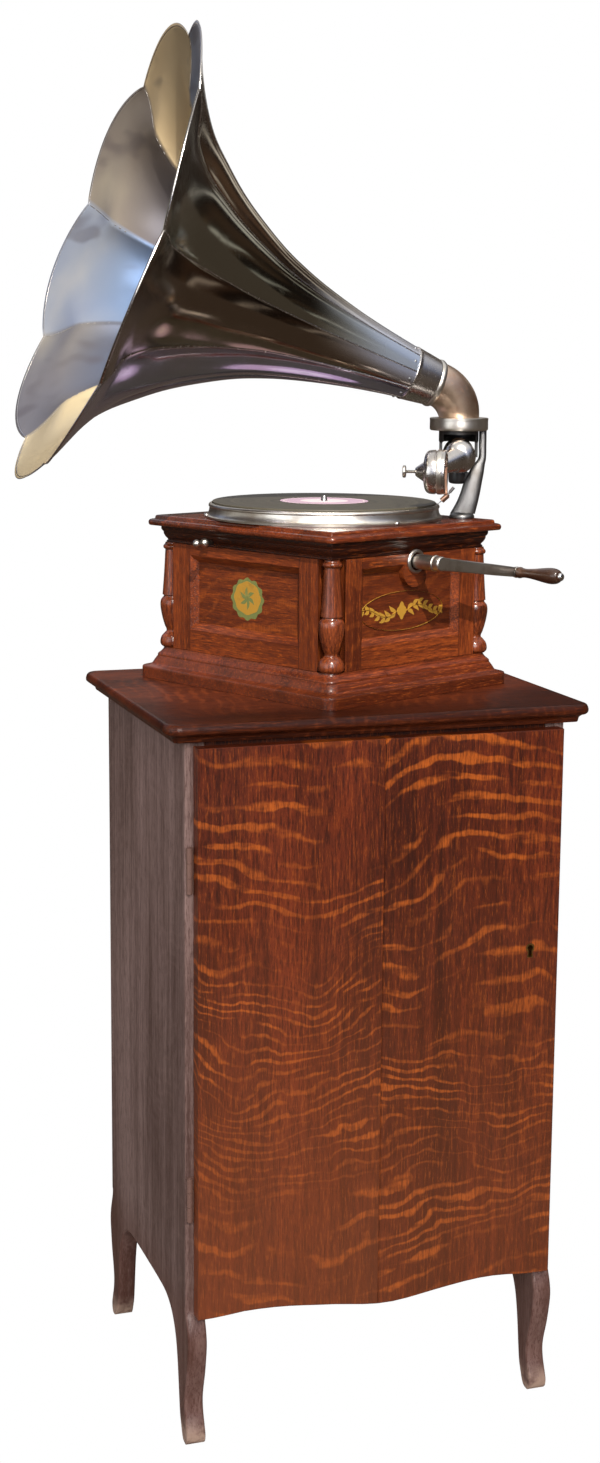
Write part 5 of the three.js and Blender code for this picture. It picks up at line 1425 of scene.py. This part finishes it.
# ---------------------------------------------------------------- studio
@dataclass
class Studio:
    """Floor, lamps, sky and camera."""

    eye: Triple = (-769.64, -2187.25, 1169.78)
    yaw: float = -18.6318
    pitch: float = -10.0779
    roll: float = 0.4622
    lens_px: float = 2114.79
    centre_px: Tuple[float, float] = (300.0, 713.39)
    image_px: Tuple[int, int] = (600, 1463)
    sensor_mm: float = 36.0
    beam_size: float = 0.1
    beam_angle: float = 11.4
    beam_blend: float = 0.2
    plain_light: float = 0.3

    def camera(self) -> None:
        """The camera at the photograph's place: forward from yaw and pitch, the rest turned by roll."""
        y, p, r = (math.radians(v) for v in (self.yaw, self.pitch, self.roll))
        forward = np.array([-math.sin(y) * math.cos(p), math.cos(y) * math.cos(p), math.sin(p)])
        right = np.array([math.cos(y), math.sin(y), 0.0])
        up = np.cross(right, forward)
        right, up = right * math.cos(r) + up * math.sin(r), up * math.cos(r) - right * math.sin(r)
        data = bpy.data.cameras.new("camera")
        camera = bpy.data.objects.new("camera", data)
        bpy.context.scene.collection.objects.link(camera)
        eye = CABINET.world(np.array(self.eye))
        rows = np.eye(4)
        rows[:3, 0], rows[:3, 1], rows[:3, 2], rows[:3, 3] = right, up, -forward, eye
        camera.matrix_world = Matrix(rows.tolist())
        long_side = max(self.image_px)
        data.sensor_width = self.sensor_mm
        data.lens = self.lens_px * self.sensor_mm / long_side
        data.shift_x = (self.image_px[0] / 2 - self.centre_px[0]) / long_side
        data.shift_y = (self.centre_px[1] - self.image_px[1] / 2) / long_side
        data.clip_end = 60.0
        bpy.context.scene.camera = camera

    def lamp(self, name: str, place: Triple, target: Triple, size: float, power: float,
             colour: Triple) -> None:
        """A square soft light that looks at target, or a narrow beam if size is at most beam_size."""
        data = bpy.data.lights.new(name, "AREA" if size > self.beam_size else "SPOT")
        if size > self.beam_size:
            data.shape = "SQUARE"
            data.size = size
        else:
            data.shadow_soft_size = size
            data.spot_size = math.radians(self.beam_angle)
            data.spot_blend = self.beam_blend
        data.energy = power
        data.color = colour
        lamp = bpy.data.objects.new(name, data)
        bpy.context.scene.collection.objects.link(lamp)
        away = np.array(place) - np.array(target)
        z = away / np.linalg.norm(away)
        x = np.cross([0.0, 0.0, 1.0], z)
        x /= np.linalg.norm(x)
        rows = np.eye(4)
        rows[:3, 0], rows[:3, 1], rows[:3, 2], rows[:3, 3] = x, np.cross(z, x), z, place
        lamp.matrix_world = Matrix(rows.tolist())

    def sky(self) -> None:
        """White to the camera; a soft room with a dark horizon to metal; plain light to everything else."""
        world = bpy.data.worlds.new("studio")
        bpy.context.scene.world = world
        world.use_nodes = True
        graph = Graph(world.node_tree)
        path = graph.node("ShaderNodeLightPath", out="Is Camera Ray")
        glossy = Sock(graph, path.socket.node.outputs["Is Glossy Ray"])
        x, y, z = graph.split(graph.node("ShaderNodeTexCoord", out="Generated"))
        wall = graph.node("ShaderNodeCombineXYZ", {}, {0: x, 1: y, 2: z * 0.35})
        patch = graph.noise(wall, 2.6, 2.0)
        low = graph.mix(rgb(132, 112, 88), rgb(74, 56, 44), z.step(-0.25, 0.02))
        dark = graph.mix(low, rgb(34, 26, 22), patch.step(0.38, 0.58))
        high = graph.mix(rgb(138, 158, 206), rgb(255, 255, 255), z.step(0.3, 0.9))
        side = graph.mix(high, rgb(236, 232, 224), (0 - x).step(0.45, 0.85))
        gleam = graph.noise(graph.scaled(wall, (1.0, 1.0, 0.6), (3.0, 1.0, 0.0)), 5.2, 1.0).step(0.6, 0.66)
        dark = graph.mix(dark, rgb(214, 206, 196), gleam * z.step(-0.3, -0.1))
        room = graph.mix(dark, side, (z + x * -0.42 - y * 0.25 + patch * 0.14).step(0.24, 0.46))
        light = graph.node("ShaderNodeBackground", {}, {"Color": WHITE, "Strength": self.plain_light})
        mirror = graph.node("ShaderNodeBackground", {}, {"Color": room, "Strength": 1.0})
        white = graph.node("ShaderNodeBackground", {}, {"Color": WHITE, "Strength": 1.0})
        first = graph.node("ShaderNodeMixShader", {}, {0: glossy, 1: light, 2: mirror})
        both = graph.node("ShaderNodeMixShader", {}, {0: path, 1: first, 2: white})
        graph.node_out("ShaderNodeOutputWorld", both)

    def floor(self) -> None:
        """A wide pale sheet just under the feet: white to the camera, dim ground to metal."""
        material, graph = new_material("pale_floor")
        camera = graph.node("ShaderNodeLightPath", out="Is Camera Ray")
        glossy = Sock(graph, camera.socket.node.outputs["Is Glossy Ray"])
        plain = graph.node("ShaderNodeBsdfDiffuse", {}, {"Color": rgb(205, 202, 198)})
        ground = graph.node("ShaderNodeEmission", {}, {"Color": rgb(92, 80, 70)})
        white = graph.node("ShaderNodeEmission", {}, {"Color": WHITE})
        bounce = graph.node("ShaderNodeMixShader", {}, {0: glossy, 1: plain, 2: ground})
        both = graph.node("ShaderNodeMixShader", {}, {0: camera, 1: bounce, 2: white})
        graph.node_out("ShaderNodeOutputMaterial", both)
        size, low = 12000.0, -0.3
        corners = np.array([[-size, -size, low], [size, -size, low], [-size, size, low], [size, size, low]])
        mesh = bpy.data.meshes.new("floor")
        mesh.from_pydata((corners * METRE).tolist(), [], [[0, 1, 3, 2]])
        mesh.materials.append(material)
        made = bpy.data.objects.new("floor", mesh)
        bpy.context.scene.collection.objects.link(made)

    def build(self) -> None:
        """Sets the whole studio."""
        bpy.context.scene.view_settings.view_transform = "Standard"
        self.floor()
        self.sky()
        middle = (0.0, 0.0, 0.75)
        high = (0.02, 0.0, 1.21)
        self.lamp("key", (-0.6, -3.3, 2.2), middle, 1.6, 112.0, (1.0, 0.97, 0.93))
        self.lamp("sun", (-0.5, -2.92, 4.15), high, 0.03, 1450.0, (1.0, 0.95, 0.88))
        self.lamp("fill", (-3.0, -1.6, 1.7), middle, 2.2, 32.0, (0.86, 0.92, 1.0))
        self.lamp("back", (0.6, 2.8, 2.6), middle, 1.8, 6.0, (1.0, 1.0, 1.0))
        self.camera()


def main() -> None:
    """Builds every sub-assembly in order."""
    logging.basicConfig(level=logging.INFO, format="%(message)s")
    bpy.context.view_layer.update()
    for part in (Studio(), Cabinet(), Door(), Case(), Turntable(), Works(), Crank(), Horn(), SoundArm()):
        LOG.info("building %s", type(part).__name__)
        part.build()


if __name__ == "__main__":
    main()
